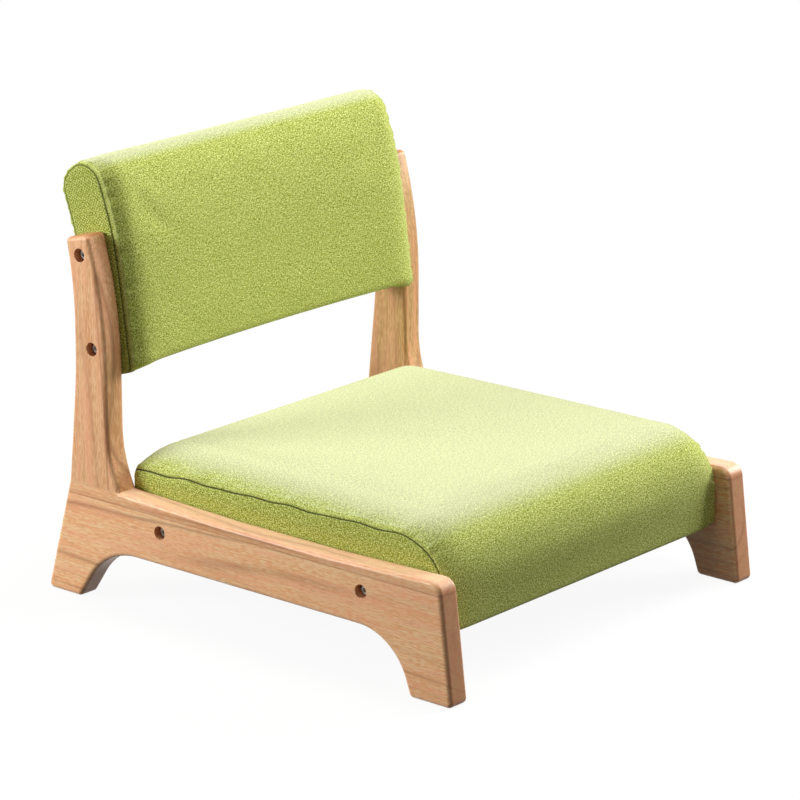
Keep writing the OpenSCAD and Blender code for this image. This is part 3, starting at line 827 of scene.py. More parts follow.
@dataclass
class SideFrame:
    """A side frame: a footed board with a back post doweled on its rear end.

    The shares of the post are parts of its height over the board.
    """

    side: Side
    width: float = 0.520
    depth: float = 0.571
    thick: float = 0.028
    rail_h: float = 0.1315
    rail_dip: float = 0.0045
    dip_spread: float = 0.93
    arch_h: float = 0.0625
    front_foot: float = 0.055
    rear_foot: float = 0.047
    front_leg_angle: float = 71.0
    rear_leg_angle: float = 56.5
    front_arch_r: float = 0.068
    rear_arch_r: float = 0.080
    front_rake: float = 0.0155
    rear_rake: float = 0.035
    nose_r: float = 0.015
    toe_r: float = 0.006
    heel_r: float = 0.0065
    post_h: float = 0.409
    post_w: float = 0.046
    post_inset: float = 0.0473
    post_flare: float = 0.0165
    flare_h: float = 0.034
    flare_r: float = 0.140
    waist_share: float = 0.45
    waist_r: float = 0.650
    bend_share: float = 0.72
    bend_angle: float = 16.5
    bend_r: float = 0.480
    rear_bend_share: float = 0.79
    rear_bend_angle: float = 11.0
    rear_bend_r: float = 0.430
    top_slope: float = 13.0
    glue_line: float = 0.1175
    bolt_places: tuple = ((-0.166, 0.0992), (0.1165, 0.0992))
    post_bolt_places: tuple = ()

    def __post_init__(self) -> None:
        """Work out the places that several outlines share."""
        self.front_y = -self.depth / 2
        self.rear_y = self.depth / 2
        self.rail_front = self.front_y + self.front_rake
        self.rail_rear = self.rear_y - self.rear_rake
        self.post_rear = self.rear_y - self.post_inset
        self.post_front = self.post_rear - self.post_w
        self.post_foot = self.post_front - self.post_flare

    def toe_out(self, rake: float) -> float:
        """Return how far a toe's corner stands out past its rounding."""
        lean = math.radians(45) + math.atan(rake / self.rail_h) / 2
        return (math.tan(lean) - 1) * self.toe_r

    def sawn(self, part: str, outline: Outline, bolts: tuple) -> Object:
        """Return a piece of this side frame.

        Args:
            part: What the piece is.
            outline: Its outline.
            bolts: The Y and Z of its screws.
        """
        name = f"{self.side.name.lower()}_{part}_rounded"
        outer = self.side.value * self.width / 2
        inner = self.side.value * (self.width / 2 - self.thick)
        bores = [Bore(y, z) for y, z in bolts]
        return SawnPiece(name, outline, outer, inner, bores).build()

    def board(self) -> Object:
        """Return the side board."""
        half = (self.post_foot - self.rail_front) / 2
        dip_r = self.dip_spread * half**2 / (2 * self.rail_dip)
        front_in = self.arch_h / math.tan(math.radians(self.front_leg_angle))
        rear_in = self.arch_h / math.tan(math.radians(self.rear_leg_angle))
        front_heel = self.front_y + self.front_foot
        rear_heel = self.rear_y - self.rear_foot
        flare = np.array((-self.post_flare, -self.flare_h))
        below = 1e-6 * flare / np.linalg.norm(flare)
        corners = [
            Corner(self.front_y - self.toe_out(self.front_rake), 0, self.toe_r),
            Corner(front_heel, 0, self.heel_r),
            Corner(front_heel + front_in, self.arch_h, self.front_arch_r),
            Corner(rear_heel - rear_in, self.arch_h, self.rear_arch_r),
            Corner(rear_heel, 0, self.heel_r),
            Corner(self.rear_y + self.toe_out(self.rear_rake), 0, self.toe_r),
            Corner(self.rail_rear, self.rail_h),
            Corner(self.post_foot, self.rail_h),
            Corner(self.post_foot + below[0], self.rail_h + below[1]),
            Corner(self.rail_front + half, self.rail_h - 2 * self.rail_dip, dip_r),
            Corner(self.rail_front, self.rail_h, self.nose_r),
        ]
        outline = Outline.rounded(corners, 3.0)
        at_foot = np.hypot(*(outline.points - (self.post_foot, self.rail_h)).T)
        outline.square[at_foot.argmin()] = False
        return self.sawn("side_board", outline, self.bolt_places)

    def post(self) -> Object:
        """Return the back post."""
        waist_z, bend_z, high_z = (
            self.rail_h + share * (self.post_h - self.rail_h)
            for share in (self.waist_share, self.bend_share, self.rear_bend_share)
        )
        bend, lean, slope = (
            math.tan(math.radians(angle))
            for angle in (self.bend_angle, self.rear_bend_angle, self.top_slope)
        )
        top_y = self.post_front + (self.post_h - bend_z) * bend
        back_z = self.post_h - (self.post_rear - top_y - high_z * lean) * slope
        back_z /= 1 + lean * slope
        corners = [
            Corner(self.rail_rear, self.rail_h),
            Corner(self.post_rear, waist_z, self.waist_r),
            Corner(self.post_rear, high_z, self.rear_bend_r),
            Corner(self.post_rear + (back_z - high_z) * lean, back_z, self.toe_r),
            Corner(top_y, self.post_h, self.toe_r),
            Corner(self.post_front, bend_z, self.bend_r),
            Corner(self.post_front, self.rail_h + self.flare_h, self.flare_r),
            Corner(self.post_foot, self.rail_h),
        ]
        outline = Outline.rounded(corners, 1.5)
        return self.sawn("back_post", outline, self.post_bolt_places)

    def dress(self) -> None:
        """Build both pieces and finish them."""
        side, right = self.side.name.lower(), self.side is Side.RIGHT
        seed = 1.73 if right else 0.0
        name, line = f"{side}_board_wood", self.glue_line
        # The board is painted lighter where it faces up, a painted highlight.
        along = Wood(name, Grain.ALONG, painted_top_light=0.25, glue_line=line, seed=seed)
        # Painted shade: the right post's colours are darker than the left post's, as the
        # right post stands in the shade of the backrest and seat.
        upright = Wood(
            f"{side}_post_wood",
            Grain.UP,
            light=colour(224, 182, 124) if right else colour(242, 196, 146),
            mid=colour(192, 145, 86) if right else colour(218, 156, 106),
            pith=(0.05, 0.236),
            tilt=0.02,
            streak=0.8,
            seed=seed + 0.4,
        )
        dress(self.board(), along.make(), [f"{side}_side_board"])
        dress(self.post(), upright.make(), [f"{side}_back_post"])


def rise(inset: float, run: float, power: float = 0.7) -> float:
    """Return how far padding has risen at a distance from its seam.

    Args:
        inset: Distance from the seam.
        run: Distance at which the padding is at its full height.
        power: How evenly it rises. It starts steeper below 1.

    Returns:
        0 at the seam and 1 from run on.
    """
    return (1 - (1 - min(inset / run, 1.0)) ** 2) ** power


def end_round(inset: float, radius: float) -> float:
    """Return what an edge rounded over radius lacks at a distance from its end."""
    return radius * (1 - math.sqrt(1 - (1 - min(inset / radius, 1.0)) ** 2))


def bell(gap: np.ndarray, width: float, power: float = 2.0) -> np.ndarray:
    """Return 1 where gap is 0, falling off over width on both sides."""
    return np.exp(-(np.abs(gap / width) ** power))


def arc(
    centre: tuple[float, float], radius: float, start: float, end: float, count: int
) -> list[tuple[float, float]]:
    """Return count + 1 points of an arc between two angles."""
    return [
        (centre[0] + radius * math.cos(a), centre[1] + radius * math.sin(a))
        for a in np.radians(np.linspace(start, end, count + 1))
    ]


@dataclass(frozen=True)
class BentWire:
    """Short bent threads or wires, one after the other along a path.

    Attributes:
        pitch: Distance from one to the next.
        length: Length of one.
        rise: Height of its bend.
        radius: Half its thickness.
        turn: Degrees that it is turned out of the path.
        scatter: Degrees that one may lie askew.
        seed: The seed of that scatter.
    """

    pitch: float
    length: float
    rise: float
    radius: float
    turn: float = 0.0
    scatter: float = 3.0
    seed: int = 5

    def inputs(self, material: Material) -> dict[str, tuple[str, object]]:
        """Return the tree's inputs by name, each as its kind and its value."""
        return {
            "Pitch": ("Float", self.pitch),
            "Length": ("Float", self.length),
            "Rise": ("Float", self.rise),
            "Radius": ("Float", self.radius),
            "Turn": ("Float", math.radians(self.turn)),
            "Scatter": ("Float", math.radians(self.scatter)),
            "Seed": ("Int", self.seed),
            "Finish": ("Material", material),
        }

    @staticmethod
    def tree(name: str, inputs: dict[str, tuple[str, object]]) -> NodeTree:
        """Return a node group that lays the wires along a path.

        Args:
            name: The group's name.
            inputs: What inputs() returns.
        """
        tree = bpy.data.node_groups.new(name, "GeometryNodeTree")
        kinds = {"Geometry": "Geometry"} | {key: kind for key, (kind, _) in inputs.items()}
        for key, kind in kinds.items():
            tree.interface.new_socket(key, in_out="INPUT", socket_type=f"NodeSocket{kind}")
        tree.interface.new_socket(
            "Geometry", in_out="OUTPUT", socket_type="NodeSocketGeometry"
        )
        graph = Graph(tree)
        given = graph.add("NodeGroupInput").outputs
        route, pitch, length, height, radius, turn, scatter, seed, material = (
            Signal(graph, given[key]) for key in kinds
        )
        path = graph.node(
            "GeometryNodeResampleCurve",
            {
                "Curve": graph.node("GeometryNodeMeshToCurve", {"Mesh": route}),
                "Length": pitch,
            },
            mode="LENGTH",
        )
        bend = graph.node(
            "GeometryNodeCurveQuadraticBezier",
            {
                "Resolution": 5,
                "Start": graph.node("CombineXYZ", {0: length * -0.5}),
                "Middle": graph.node("CombineXYZ", {2: height * 2.0}),
                "End": graph.node("CombineXYZ", {0: length * 0.5}),
            },
        )
        ring = graph.node(
            "GeometryNodeCurvePrimitiveCircle", {"Resolution": 6, "Radius": radius}
        )
        wire = graph.node(
            "GeometryNodeCurveToMesh",
            {"Curve": bend, "Profile Curve": ring, "Fill Caps": True},
        )
        outward = graph.node(
            "GeometryNodeInputNamedAttribute",
            {"Name": "outward"},
            data_type="FLOAT_VECTOR",
        )
        upright = graph.node(
            "FunctionNodeAlignRotationToVector", {"Vector": outward}, axis="Z"
        )
        tangent = graph.node("GeometryNodeInputTangent")
        aligned = graph.node(
            "FunctionNodeAlignRotationToVector",
            {"Rotation": upright, "Vector": tangent},
            axis="X",
            pivot_axis="Z",
        )
        sockets = {2: scatter * -1.0, 3: scatter, "Seed": seed}
        askew = graph.node("FunctionNodeRandomValue", sockets, 1, data_type="FLOAT")
        spin = graph.node("CombineXYZ", {2: turn + askew})
        turned = graph.node(
            "FunctionNodeRotateRotation",
            {0: aligned, 1: graph.node("FunctionNodeEulerToRotation", {0: spin})},
            rotation_space="LOCAL",
        )
        laid = graph.node(
            "GeometryNodeInstanceOnPoints",
            {"Points": path, "Instance": wire, "Rotation": turned},
        )
        real = graph.node("GeometryNodeRealizeInstances", {0: laid})
        finished = graph.node(
            "GeometryNodeSetMaterial", {"Geometry": real, "Material": material}
        )
        graph.add("NodeGroupOutput", {0: finished})
        return tree

    def lay(
        self,
        name: str,
        paths: Sequence[tuple[Sequence, Sequence, bool]],
        material: Material,
        slot: str,
    ) -> None:
        """slot: The name of a material slot, which is not used.
        """
        points, ways, edges = [], [], []
        for line, out, closed in paths:
            first, count = len(points), len(line)
            points += line
            ways += out
            edges += [(first + i, first + i + 1) for i in range(count - 1)]
            if closed:
                edges.append((first + count - 1, first))
        piece = new_piece(name, points, edges=edges)
        store(piece.data, "outward", ways)
        repeat = piece.modifiers.new("repeat", "NODES")
        inputs = self.inputs(material)
        repeat.node_group = self.tree(name, inputs)
        for item in repeat.node_group.interface.items_tree:
            if item.in_out == "INPUT" and item.name in inputs:
                repeat[item.identifier] = inputs[item.name][1]
        settle(piece)
        piece.data.shade_smooth()
        dress(piece, None)


@dataclass
class Pad:
    """A foam pad in a sewn cover: a length of cloth with two end panels.

    Its mesh has a map of the cloth, and each point knows how far it is from a seam,
    below 0 on an end panel, and how far along that seam.

    Attributes:
        part: The chair's part that it pads.
        panels: What its end panels are called.
        half: Half the distance between its end seams.
        cut_half: The half that its lines are worked out for.
        run: Distance from a seam at which the padding is at its full height.
        seam_stations: Distances of the cover's rings from a seam.
        middle_step: Distance between the other rings.
        panel_shares: Places of an end panel's rings between seam and middle line.
        groove: Depth of a seam, over groove_w on both sides.
        ridge: Height of the cloth's raised edge at ridge_gap from a seam, ridge_w wide.
        pucker: Height of the puckers, which fade over pucker_run.
        sway: How far a seam strays up and down, with the cloth within sway_run.
        hold_run: Distance from a seam within which the seam holds the cover.
        swell: How far pressure can press the cover out.
        slide: The share of its sideways movement that stays.
        press: Settings of the cloth that the pressure moves.
        press_frames: Steps that it has to settle.
        panel_shift: Where the end panels lie on the map of the cloth.
        panel_lift: How far an end panel stands out from panel_run on.
    """

    part: str
    panels: str
    half: float = 0.2314
    cut_half: float = 0.2302
    run: float = 0.044
    seam_stations: tuple = (
        0.0, 0.0005, 0.0012, 0.0024, 0.0045, 0.0072, 0.0105, 0.014,
        0.0185, 0.024, 0.030, 0.037, 0.044,
    )  # fmt: skip
    middle_step: float = 0.009
    panel_shares: tuple = (0.015, 0.035, 0.08, 0.16, 0.28, 0.45, 0.7)
    groove: float = 0.0012
    groove_w: float = 0.0006
    ridge: float = 0.0006
    ridge_gap: float = 0.0032
    ridge_w: float = 0.0018
    pucker: float = 0.0008
    pucker_run: float = 0.009
    sway: float = 0.0005
    sway_run: float = 0.012
    hold_run: float = 0.016
    swell: float = 0.003
    slide: float = 0.3
    press: tuple = (
        ("quality", 4),
        ("mass", 0.4),
        ("tension_stiffness", 40),
        ("compression_stiffness", 40),
        ("shear_stiffness", 20),
        ("bending_stiffness", 1.5),
        ("vertex_group_mass", "held"),
        ("use_pressure", True),
        ("uniform_pressure_force", 4),
    )
    press_frames: int = 20
    panel_shift: float = 0.6
    panel_lift: float = 0.0003
    panel_run: float = 0.003
    stitch: BentWire = BentWire(0.0032, 0.0025, 0.0002, 0.00024)
    seed: int = 3

    def line(self, x: float) -> np.ndarray:
        """Return the cover's closed line at x in the pad's own two axes."""
        raise NotImplementedError

    def place(self, x: np.ndarray, points: np.ndarray) -> np.ndarray:
        """Return where points of the pad's own two axes are at x."""
        raise NotImplementedError

    def spine(self, points: np.ndarray) -> np.ndarray:
        """Return the point of the end panel's middle line nearest to each point."""
        raise NotImplementedError

    def held(self, points: np.ndarray) -> np.ndarray:
        """Return 1 for points that the pad's frame holds, down to 0 for free ones."""
        raise NotImplementedError

    def panel_swell(self, points: np.ndarray, depth: np.ndarray) -> np.ndarray:
        """Return how far an end panel stands out at points, depth from its seam."""
        del points
        return self.panel_lift * np.minimum(depth / self.panel_run, 1.0)

    def stations(self) -> np.ndarray:
        """Return the places of the cover's rings across the chair."""
        seam = np.array(self.seam_stations)
        start = self.half - seam[-1]
        inner = np.linspace(start, 0, round(start / self.middle_step) + 1)[1:-1]
        positive = np.concatenate((self.half - seam, inner))
        return np.concatenate((-positive, [0.0], positive[::-1]))

    def build(self) -> Object:
        """Return the sewn pad as one closed mesh with a map of its cloth."""
        xs = self.stations()
        lines = [self.line(float(x) * self.cut_half / self.half) for x in xs]
        count, last = len(lines[0]), len(xs) - 1
        rings = [
            self.place(np.full(count, x), line) for x, line in zip(xs, lines, strict=True)
        ]
        middle = lines[len(lines) // 2]
        gaps = np.linalg.norm(np.roll(middle, -1, 0) - middle, axis=1)
        length = np.concatenate(([0.0], np.cumsum(gaps)))
        steps = np.linalg.norm(np.diff(np.array(rings), axis=0), axis=2)
        across = np.concatenate((np.zeros((1, count)), np.cumsum(steps, axis=0)))
        across -= across[len(xs) // 2]
        faces, maps, flat_ids = [], [], set()
        for j in range(last):
            for i in range(count):
                k = (i + 1) % count
                rows = ((j, i, i), (j + 1, i, i), (j + 1, k, i + 1), (j, k, i + 1))
                faces.append(tuple(row * count + column for row, column, _ in rows))
                maps += [(across[row, column], length[end]) for row, column, end in rows]
        seam_gap = list(np.repeat(self.half - np.abs(xs), count))
        for sign, row in ((-1, 0), (1, last)):
            edge = ring = lines[row]
            target = self.spine(edge)
            ids = [row * count + i for i in range(count)]
            shift = sign * self.panel_shift
            for share in self.panel_shares:
                outer = ids, ring
                ring = edge + (target - edge) * share
                depth = np.linalg.norm(ring - edge, axis=1)
                out = self.half + self.panel_swell(ring, depth)
                ids = [len(rings) * count + i for i in range(count)]
                rings.append(self.place(sign * out, ring))
                self._stitch_band(faces, maps, outer, (ids, ring), shift)
                seam_gap += list(-depth)
            flat_ids |= set(ids)
            for corners in tessellate_polygon([[Vector((t, s, 0)) for t, s in ring]]):
                turn = corners if sign < 0 else corners[::-1]
                faces.append(tuple(ids[c] for c in turn))
                maps += [(ring[c][0] + shift, ring[c][1]) for c in turn]
        piece = new_piece(f"{self.part}_cushion", np.concatenate(rings), faces)
        layer = piece.data.uv_layers.new(name="cloth")
        layer.data.foreach_set("uv", np.array(maps, np.float32).ravel())
        store(piece.data, "seam_gap", seam_gap)
        store(piece.data, "seam_along", np.tile(length[:count], len(rings)))
        bm = bmesh.new()
        bm.from_mesh(piece.data)
        bmesh.ops.recalc_face_normals(bm, faces=bm.faces)
        crease = bm.edges.layers.float.new("crease_edge")
        for edge in bm.edges:
            edge[crease] = float(all(v.index in flat_ids for v in edge.verts))
        bm.to_mesh(piece.data)
        bm.free()
        return piece

    @staticmethod
    def _stitch_band(
        faces: list, maps: list, outer: tuple, inner: tuple, shift: float
    ) -> None:
        """Add an end panel's faces between two of its rings.

        Args:
            faces: The pad's faces, which grow.
            maps: Their places on the cloth, which grow too.
            outer: The outer ring's vertex numbers and points.
            inner: The same for the inner ring.
            shift: How far the panel is moved on the cloth.
        """
        count = len(outer[0])
        for i in range(count):
            k = (i + 1) % count
            corners = [(outer, i), (outer, k), (inner, k), (inner, i)]
            if shift > 0:
                corners.reverse()
            faces.append(tuple(ring[0][c] for ring, c in corners))
            maps += [(ring[1][c][0] + shift, ring[1][c][1]) for ring, c in corners]

    def inflate(self, piece: Object) -> None:
        """Press the cover out from inside as cloth, by swell at the most.

        Args:
            piece: The sewn pad, before it is subdivided.
        """
        mesh = piece.data
        rest = read(mesh.vertices, "co")
        gap = stored(mesh, "seam_gap")
        seam = np.clip(1 - gap / self.hold_run, 0, 1)
        hold = np.maximum(np.where(gap <= 0, 1.0, seam), self.held(rest))
        group = piece.vertex_groups.new(name="held")
        for index in np.flatnonzero(hold > 0.02):
            group.add([int(index)], float(hold[index]), "REPLACE")
        cloth = piece.modifiers.new("cloth", "CLOTH")
        for key, value in self.press:
            setattr(cloth.settings, key, value)
        cloth.settings.effector_weights.gravity = 0
        cloth.collision_settings.use_collision = False
        scene = bpy.context.scene
        for number in range(1, self.press_frames + 1):
            scene.frame_set(number)
        blown = piece.evaluated_get(bpy.context.evaluated_depsgraph_get())
        push = read(blown.to_mesh().vertices, "co") - rest
        blown.to_mesh_clear()
        piece.modifiers.clear()
        scene.frame_set(1)
        normal = read(mesh.vertices, "normal")
        lift = np.sum(push * normal, axis=1, keepdims=True)
        slide = self.slide * (push - lift * normal)
        push = np.maximum(lift, 0) * normal + slide
        size = np.linalg.norm(push, axis=1, keepdims=True)
        capped = self.swell * np.tanh(size / self.swell)
        push *= capped / np.maximum(size, 1e-9)
        push *= (1 - hold)[:, None]
        LOG.info("%s: pressed out by up to %.1f mm", piece.name, size.max() / MM)
        move(mesh, rest + push)

    def sew(self, mesh: Mesh) -> None:
        """Draw in the seams and pucker the cloth beside them."""
        co, normal = read(mesh.vertices, "co"), read(mesh.vertices, "normal")
        gap, along = stored(mesh, "seam_gap"), stored(mesh, "seam_along")
        rng = np.random.default_rng(self.seed)
        waves, sway = (
            sum(
                np.sin(along * 2 * math.pi / length + rng.uniform(0, 6.3))
                for length in lengths
            )
            for lengths in ((0.0093, 0.0127, 0.0171, 0.031), (0.047, 0.071, 0.113))
        )
        fade = bell(gap, self.pucker_run, 1.3) * (gap > 0)
        fade *= 1 - bell(gap, 0.0015)
        lift = waves * 0.5 * self.pucker * fade
        lift -= self.groove * bell(gap, self.groove_w, 1.0)
        lift += self.ridge * bell(gap - self.ridge_gap, self.ridge_w)
        co += normal * lift[:, None]
        co[:, 2] += self.sway * sway * bell(gap, self.sway_run)
        move(mesh, co)

    def seam(self, mesh: Mesh, side: Side) -> tuple[list, list, bool]:
        """Return a seam's closed path and the ways out of it, for its stitches.

        Args:
            mesh: The finished pad's mesh.
            side: The pad's end that has the seam.
        """
        found = [
            (v.co.copy(), v.normal.copy())
            for v, g in zip(mesh.vertices, stored(mesh, "seam_gap"), strict=True)
            if abs(g) < 1e-6 and v.co.x * side.value > 0
        ]
        middle = sum((co for co, _ in found), Vector()) / len(found)
        found.sort(key=lambda f: math.atan2(f[0].z - middle.z, f[0].y - middle.y))
        points = [co + normal * 0.0001 for co, normal in found]
        return points, [normal for _, normal in found], True

    def dress(self, cloth: Material, thread: Material) -> None:
        """Build the pad, press it out, smooth and sew it, and finish it.

        Args:
            cloth: The cover's cloth.
            thread: The seams' thread.
        """
        piece = self.build()
        self.inflate(piece)
        smooth = piece.modifiers.new("smooth", "SUBSURF")
        smooth.levels = smooth.render_levels = 1
        settle(piece)
        self.sew(piece.data)
        piece.data.shade_smooth()
        panels = [f"{self.part}_{side}_{self.panels}" for side in ("left", "right")]
        dress(piece, cloth, [f"{self.part}_cover", *panels])
        paths = [self.seam(piece.data, side) for side in Side]
        self.stitch.lay(f"{self.part}_seam_stitches", paths, thread, "green_fabric")


@dataclass
class SeatPad(Pad):
    """The seat: a crowned top with a rounded front and soft boxed sides."""

    part: str = "seat"
    panels: str = "side_panel"
    front: float = -0.2535
    rear: float = 0.1805
    base: float = 0.0633
    rail_h: float = 0.1315
    seam_front: float = 0.028
    seam_rear: float = 0.020
    loft_front: float = 0.018
    loft_rear: float = 0.024
    crown: float = 0.004
    front_swell: float = 0.004
    nose_r: float = 0.060
    rear_r: float = 0.008
    rear_loft_r: float = 0.020
    foot_r: float = 0.005
    spine_z: float = 0.108
    free_z: float = 0.100
    held_run: float = 0.03
    bulge: float = 0.0022
    bulge_h: float = 0.020
    bulge_run: float = 0.006

    def line(self, x: float) -> np.ndarray:
        """Return the seat cover's line at x, from its rear foot over the top."""
        f = rise(self.cut_half - abs(x), self.run)
        middle = 1 - (x / self.cut_half) ** 2
        y0, y1 = self.front - self.front_swell * f, self.rear
        front_z = self.rail_h + self.seam_front + self.loft_front * f
        rear_z = self.rail_h + self.seam_rear + self.loft_rear * f
        back = self.rear_r + self.rear_loft_r * f
        foot, nose, base = self.foot_r, self.nose_r, self.base
        a, b = np.array((y1 - back, rear_z)), np.array((y0 + nose, front_z))
        shares = np.arange(1, 46) / 46
        top = a + (b - a) * shares[:, None]
        top[:, 1] += self.crown * middle * np.sin(math.pi * shares)
        points = [
            *arc((y1 - foot, base + foot), foot, -90, 0, 4),
            *[(y1, z) for z in np.linspace(base + foot, rear_z - back, 9)[1:-1]],
            *arc((y1 - back, rear_z - back), back, 0, 90, 8),
            *top,
            *arc((y0 + nose, front_z - nose), nose, 90, 180, 16),
            *[(y0, z) for z in np.linspace(front_z - nose, base + foot, 5)[1:-1]],
            *arc((y0 + foot, base + foot), foot, 180, 270, 4),
            *[(y, base) for y in np.linspace(y0 + foot, y1 - foot, 47)[1:-1]],
        ]
        return np.array(points)

    def place(self, x: np.ndarray, points: np.ndarray) -> np.ndarray:
        """Return where points in Y and Z are at x."""
        return np.stack((x, points[:, 0], points[:, 1]), 1)

    def spine(self, points: np.ndarray) -> np.ndarray:
        """Return the nearest points of the side panel's middle line."""
        y = np.clip(points[:, 0], self.front + 0.045, self.rear - 0.04)
        return np.stack((y, np.full(len(y), self.spine_z)), 1)

    def held(self, points: np.ndarray) -> np.ndarray:
        """Hold the cover under the seat and low down at its front and rear."""
        low = np.clip((self.free_z - points[:, 2]) / self.held_run, 0, 1)
        return np.where(points[:, 2] < self.base + 0.004, 1.0, low)

    def panel_swell(self, points: np.ndarray, depth: np.ndarray) -> np.ndarray:
        """Let the side panel bulge over the rail's top."""
        above = np.clip((points[:, 1] - self.rail_h - 0.001) / self.bulge_h, 0, 1)
        bulge = self.bulge * np.sin(math.pi * above)
        flat = super().panel_swell(points, depth)
        return flat + bulge * np.minimum(depth / self.bulge_run, 1.0)


@dataclass
class BackPad(Pad):
    """The backrest: a curved pad with rounded ends and a rolled top."""

    part: str = "back"
    panels: str = "end_panel"
    foot: tuple = (0.207, 0.252)
    thick: float = 0.057
    tall: float = 0.230
    lean: float = 8.2
    straight: float = 0.116
    bend_r: float = 0.330
    hollow: float = 0.004
    cup: float = 0.009
    top_r: float = 0.0285
    bottom_r: float = 0.009
    front_run: float = 0.026
    end_r: float = 0.004
    top_end_r: float = 0.0025
    rear_end_r: float = 0.005
    front_swell: float = 0.0135
    tuck: float = 0.008
    relief: float = 0.0055
    held_h: float = 0.022
    held_run: float = 0.01
    bolt_heights: tuple = (0.0327, 0.1347)
    closing_half: float = 0.205
    closing_t: float = 0.014
    closing_lean: float = 8.0
    closing: BentWire = BentWire(0.0062, 0.003, 0.0004, 0.0003, turn=38, scatter=9)
    seed: int = 8

    def line(self, x: float) -> np.ndarray:
        """Return the back cover's line at x in thickness and height."""
        inset = self.cut_half - abs(x)
        t0 = -self.thick / 2 + end_round(inset, self.end_r)
        t0 += self.cup * (1 - (x / self.cut_half) ** 2)
        t0 -= self.front_swell * rise(inset, self.front_run, 1.0)
        t1 = self.thick / 2 + self.relief - end_round(inset, self.rear_end_r)
        s0 = self.tuck * rise(inset, self.run)
        s1 = self.tall - end_round(inset, self.top_end_r)
        low, high = self.bottom_r, min(self.top_r, (t1 - t0) / 2 - 0.001)
        up = np.linspace(s0 + low, s1 - high, 28)[1:-1]
        points = [
            *arc((t1 - low, s0 + low), low, -90, 0, 5),
            *[(t1, s) for s in up],
            *arc((t1 - high, s1 - high), high, 0, 90, 9),
            *arc((t0 + high, s1 - high), high, 90, 180, 9),
            *[(t0, s) for s in up[::-1]],
            *arc((t0 + low, s0 + low), low, 180, 270, 5),
            *[(t, s0) for t in np.linspace(t0 + low, t1 - low, 9)[1:-1]],
        ]
        return np.array(points)

    def place(self, x: np.ndarray, points: np.ndarray) -> np.ndarray:
        """Return where points in thickness and height are at x."""
        t, s = points[:, 0], points[:, 1]
        lean = math.radians(self.lean)
        angle = lean + np.maximum(s - self.straight, 0) / self.bend_r
        lower = np.minimum(s, self.straight)
        y = self.foot[0] + lower * math.sin(lean)
        z = self.foot[1] + lower * math.cos(lean)
        y = y + self.bend_r * (math.cos(lean) - np.cos(angle))
        z = z + self.bend_r * (np.sin(angle) - math.sin(lean))
        y = y + t * np.cos(angle) + self.hollow * (1 - (x / self.half) ** 2)
        z = z - t * np.sin(angle)
        return np.stack((x, y, z), 1)

    def spine(self, points: np.ndarray) -> np.ndarray:
        """Return the nearest points of the end panel's middle line."""
        s = np.clip(points[:, 1], 0.026, self.tall - 0.034)
        return np.stack((np.full(len(s), 0.002), s), 1)

    def held(self, points: np.ndarray) -> np.ndarray:
        """Hold the cover along the bottom."""
        low = self.foot[1] + self.held_h - points[:, 2]
        return np.clip(low / self.held_run, 0, 1)

    def bolt_place(self, s: float) -> tuple[float, float]:
        """Return the Y and Z of a bolt at a height along the pad."""
        _, y, z = self.place(np.array([self.half]), np.array([[0.0, s]]))[0]
        return float(y), float(z)

    def dress(self, cloth: Material, thread: Material) -> None:
        """Build the backrest, finish it and close its cover underneath.

        Args:
            cloth: The cover's cloth.
            thread: The seams' thread.
        """
        super().dress(cloth, thread)
        down = Vector((0, math.sin(math.radians(self.closing_lean)), -1)).normalized()
        line = []
        for x in np.linspace(-self.closing_half, self.closing_half, 60):
            low = self.tuck * rise(self.cut_half - abs(x), self.run)
            point = self.place(np.array([x]), np.array([[self.closing_t, low]]))[0]
            line.append(Vector(point))
        path = line, [down] * len(line), False
        self.closing.lay("back_closing_stitches", [path], thread, "green_fabric")


@dataclass
class InnerParts:
    """The CAD pieces that keep their own shape, and the dust cover's staples."""

    nodes: dict
    edge: float = 0.011
    staple: BentWire = BentWire(0.042, 0.0098, 0.0003, 0.00045, turn=8, scatter=14)

    def dress(self) -> None:
        """Give each kept CAD node its material."""
        pine = {"light": colour(232, 208, 164), "mid": colour(214, 184, 134)}
        pine |= {"lacquer": 0.0, "roughness": 0.7}
        beech = {"light": colour(226, 192, 150), "mid": colour(206, 166, 120)}
        beech |= {"lacquer": 0.0, "roughness": 0.65}
        steel = Steel()
        wearers = {
            Wood("bare_pine", Grain.ACROSS, **pine): [
                "seat_front_rail", "seat_rear_rail", "back_spacer_rails",
            ],
            Wood("bare_pine_long", Grain.ALONG, **pine): [
                "seat_left_rail", "seat_right_rail",
            ],
            Wood("bare_beech", Grain.UP, **beech): [
                "left_post_dowels", "right_post_dowels", "seat_corner_blocks",
                "back_left_end_block", "back_right_end_block",
            ],
            Webbing("webbing_across", Grain.ACROSS): ["seat_webbing_across"],
            Webbing("webbing_along", Grain.ALONG): ["seat_webbing_lengthwise"],
            Foam(): ["seat_foam", "back_front_foam", "back_rear_foam"],
            DustCloth(): ["seat_dust_cover"],
            Plywood(): ["back_front_board", "back_rear_board"],
            steel: [
                f"{pad}_{part}"
                for pad in ("seat", "back")
                for part in ("bolts", "spring_washers", "flat_washers", "inserts")
            ],
        }  # fmt: skip
        made = {finish: finish.make() for finish in wearers}
        for finish, names in wearers.items():
            for name in names:
                wear(self.nodes[name], made[finish])
                LOG.info("%s keeps its CAD shape", name)
        self.staple_cover(made[steel])

    def staple_cover(self, steel: Material) -> None:
        """Staple the dust cover's edge to the rails."""
        low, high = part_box("seat_dust_cover")
        x, y0, y1 = high[0] - self.edge, low[1] + self.edge, high[1] - self.edge
        corners = [(-x, y0), (x, y0), (x, y1), (-x, y1)]
        line = [Vector((*corner, low[2] - 0.0001)) for corner in corners]
        path = line, [Vector((0, 0, -1))] * len(line), True
        self.staple.lay("dust_cover_staples", [path], steel, "steel")


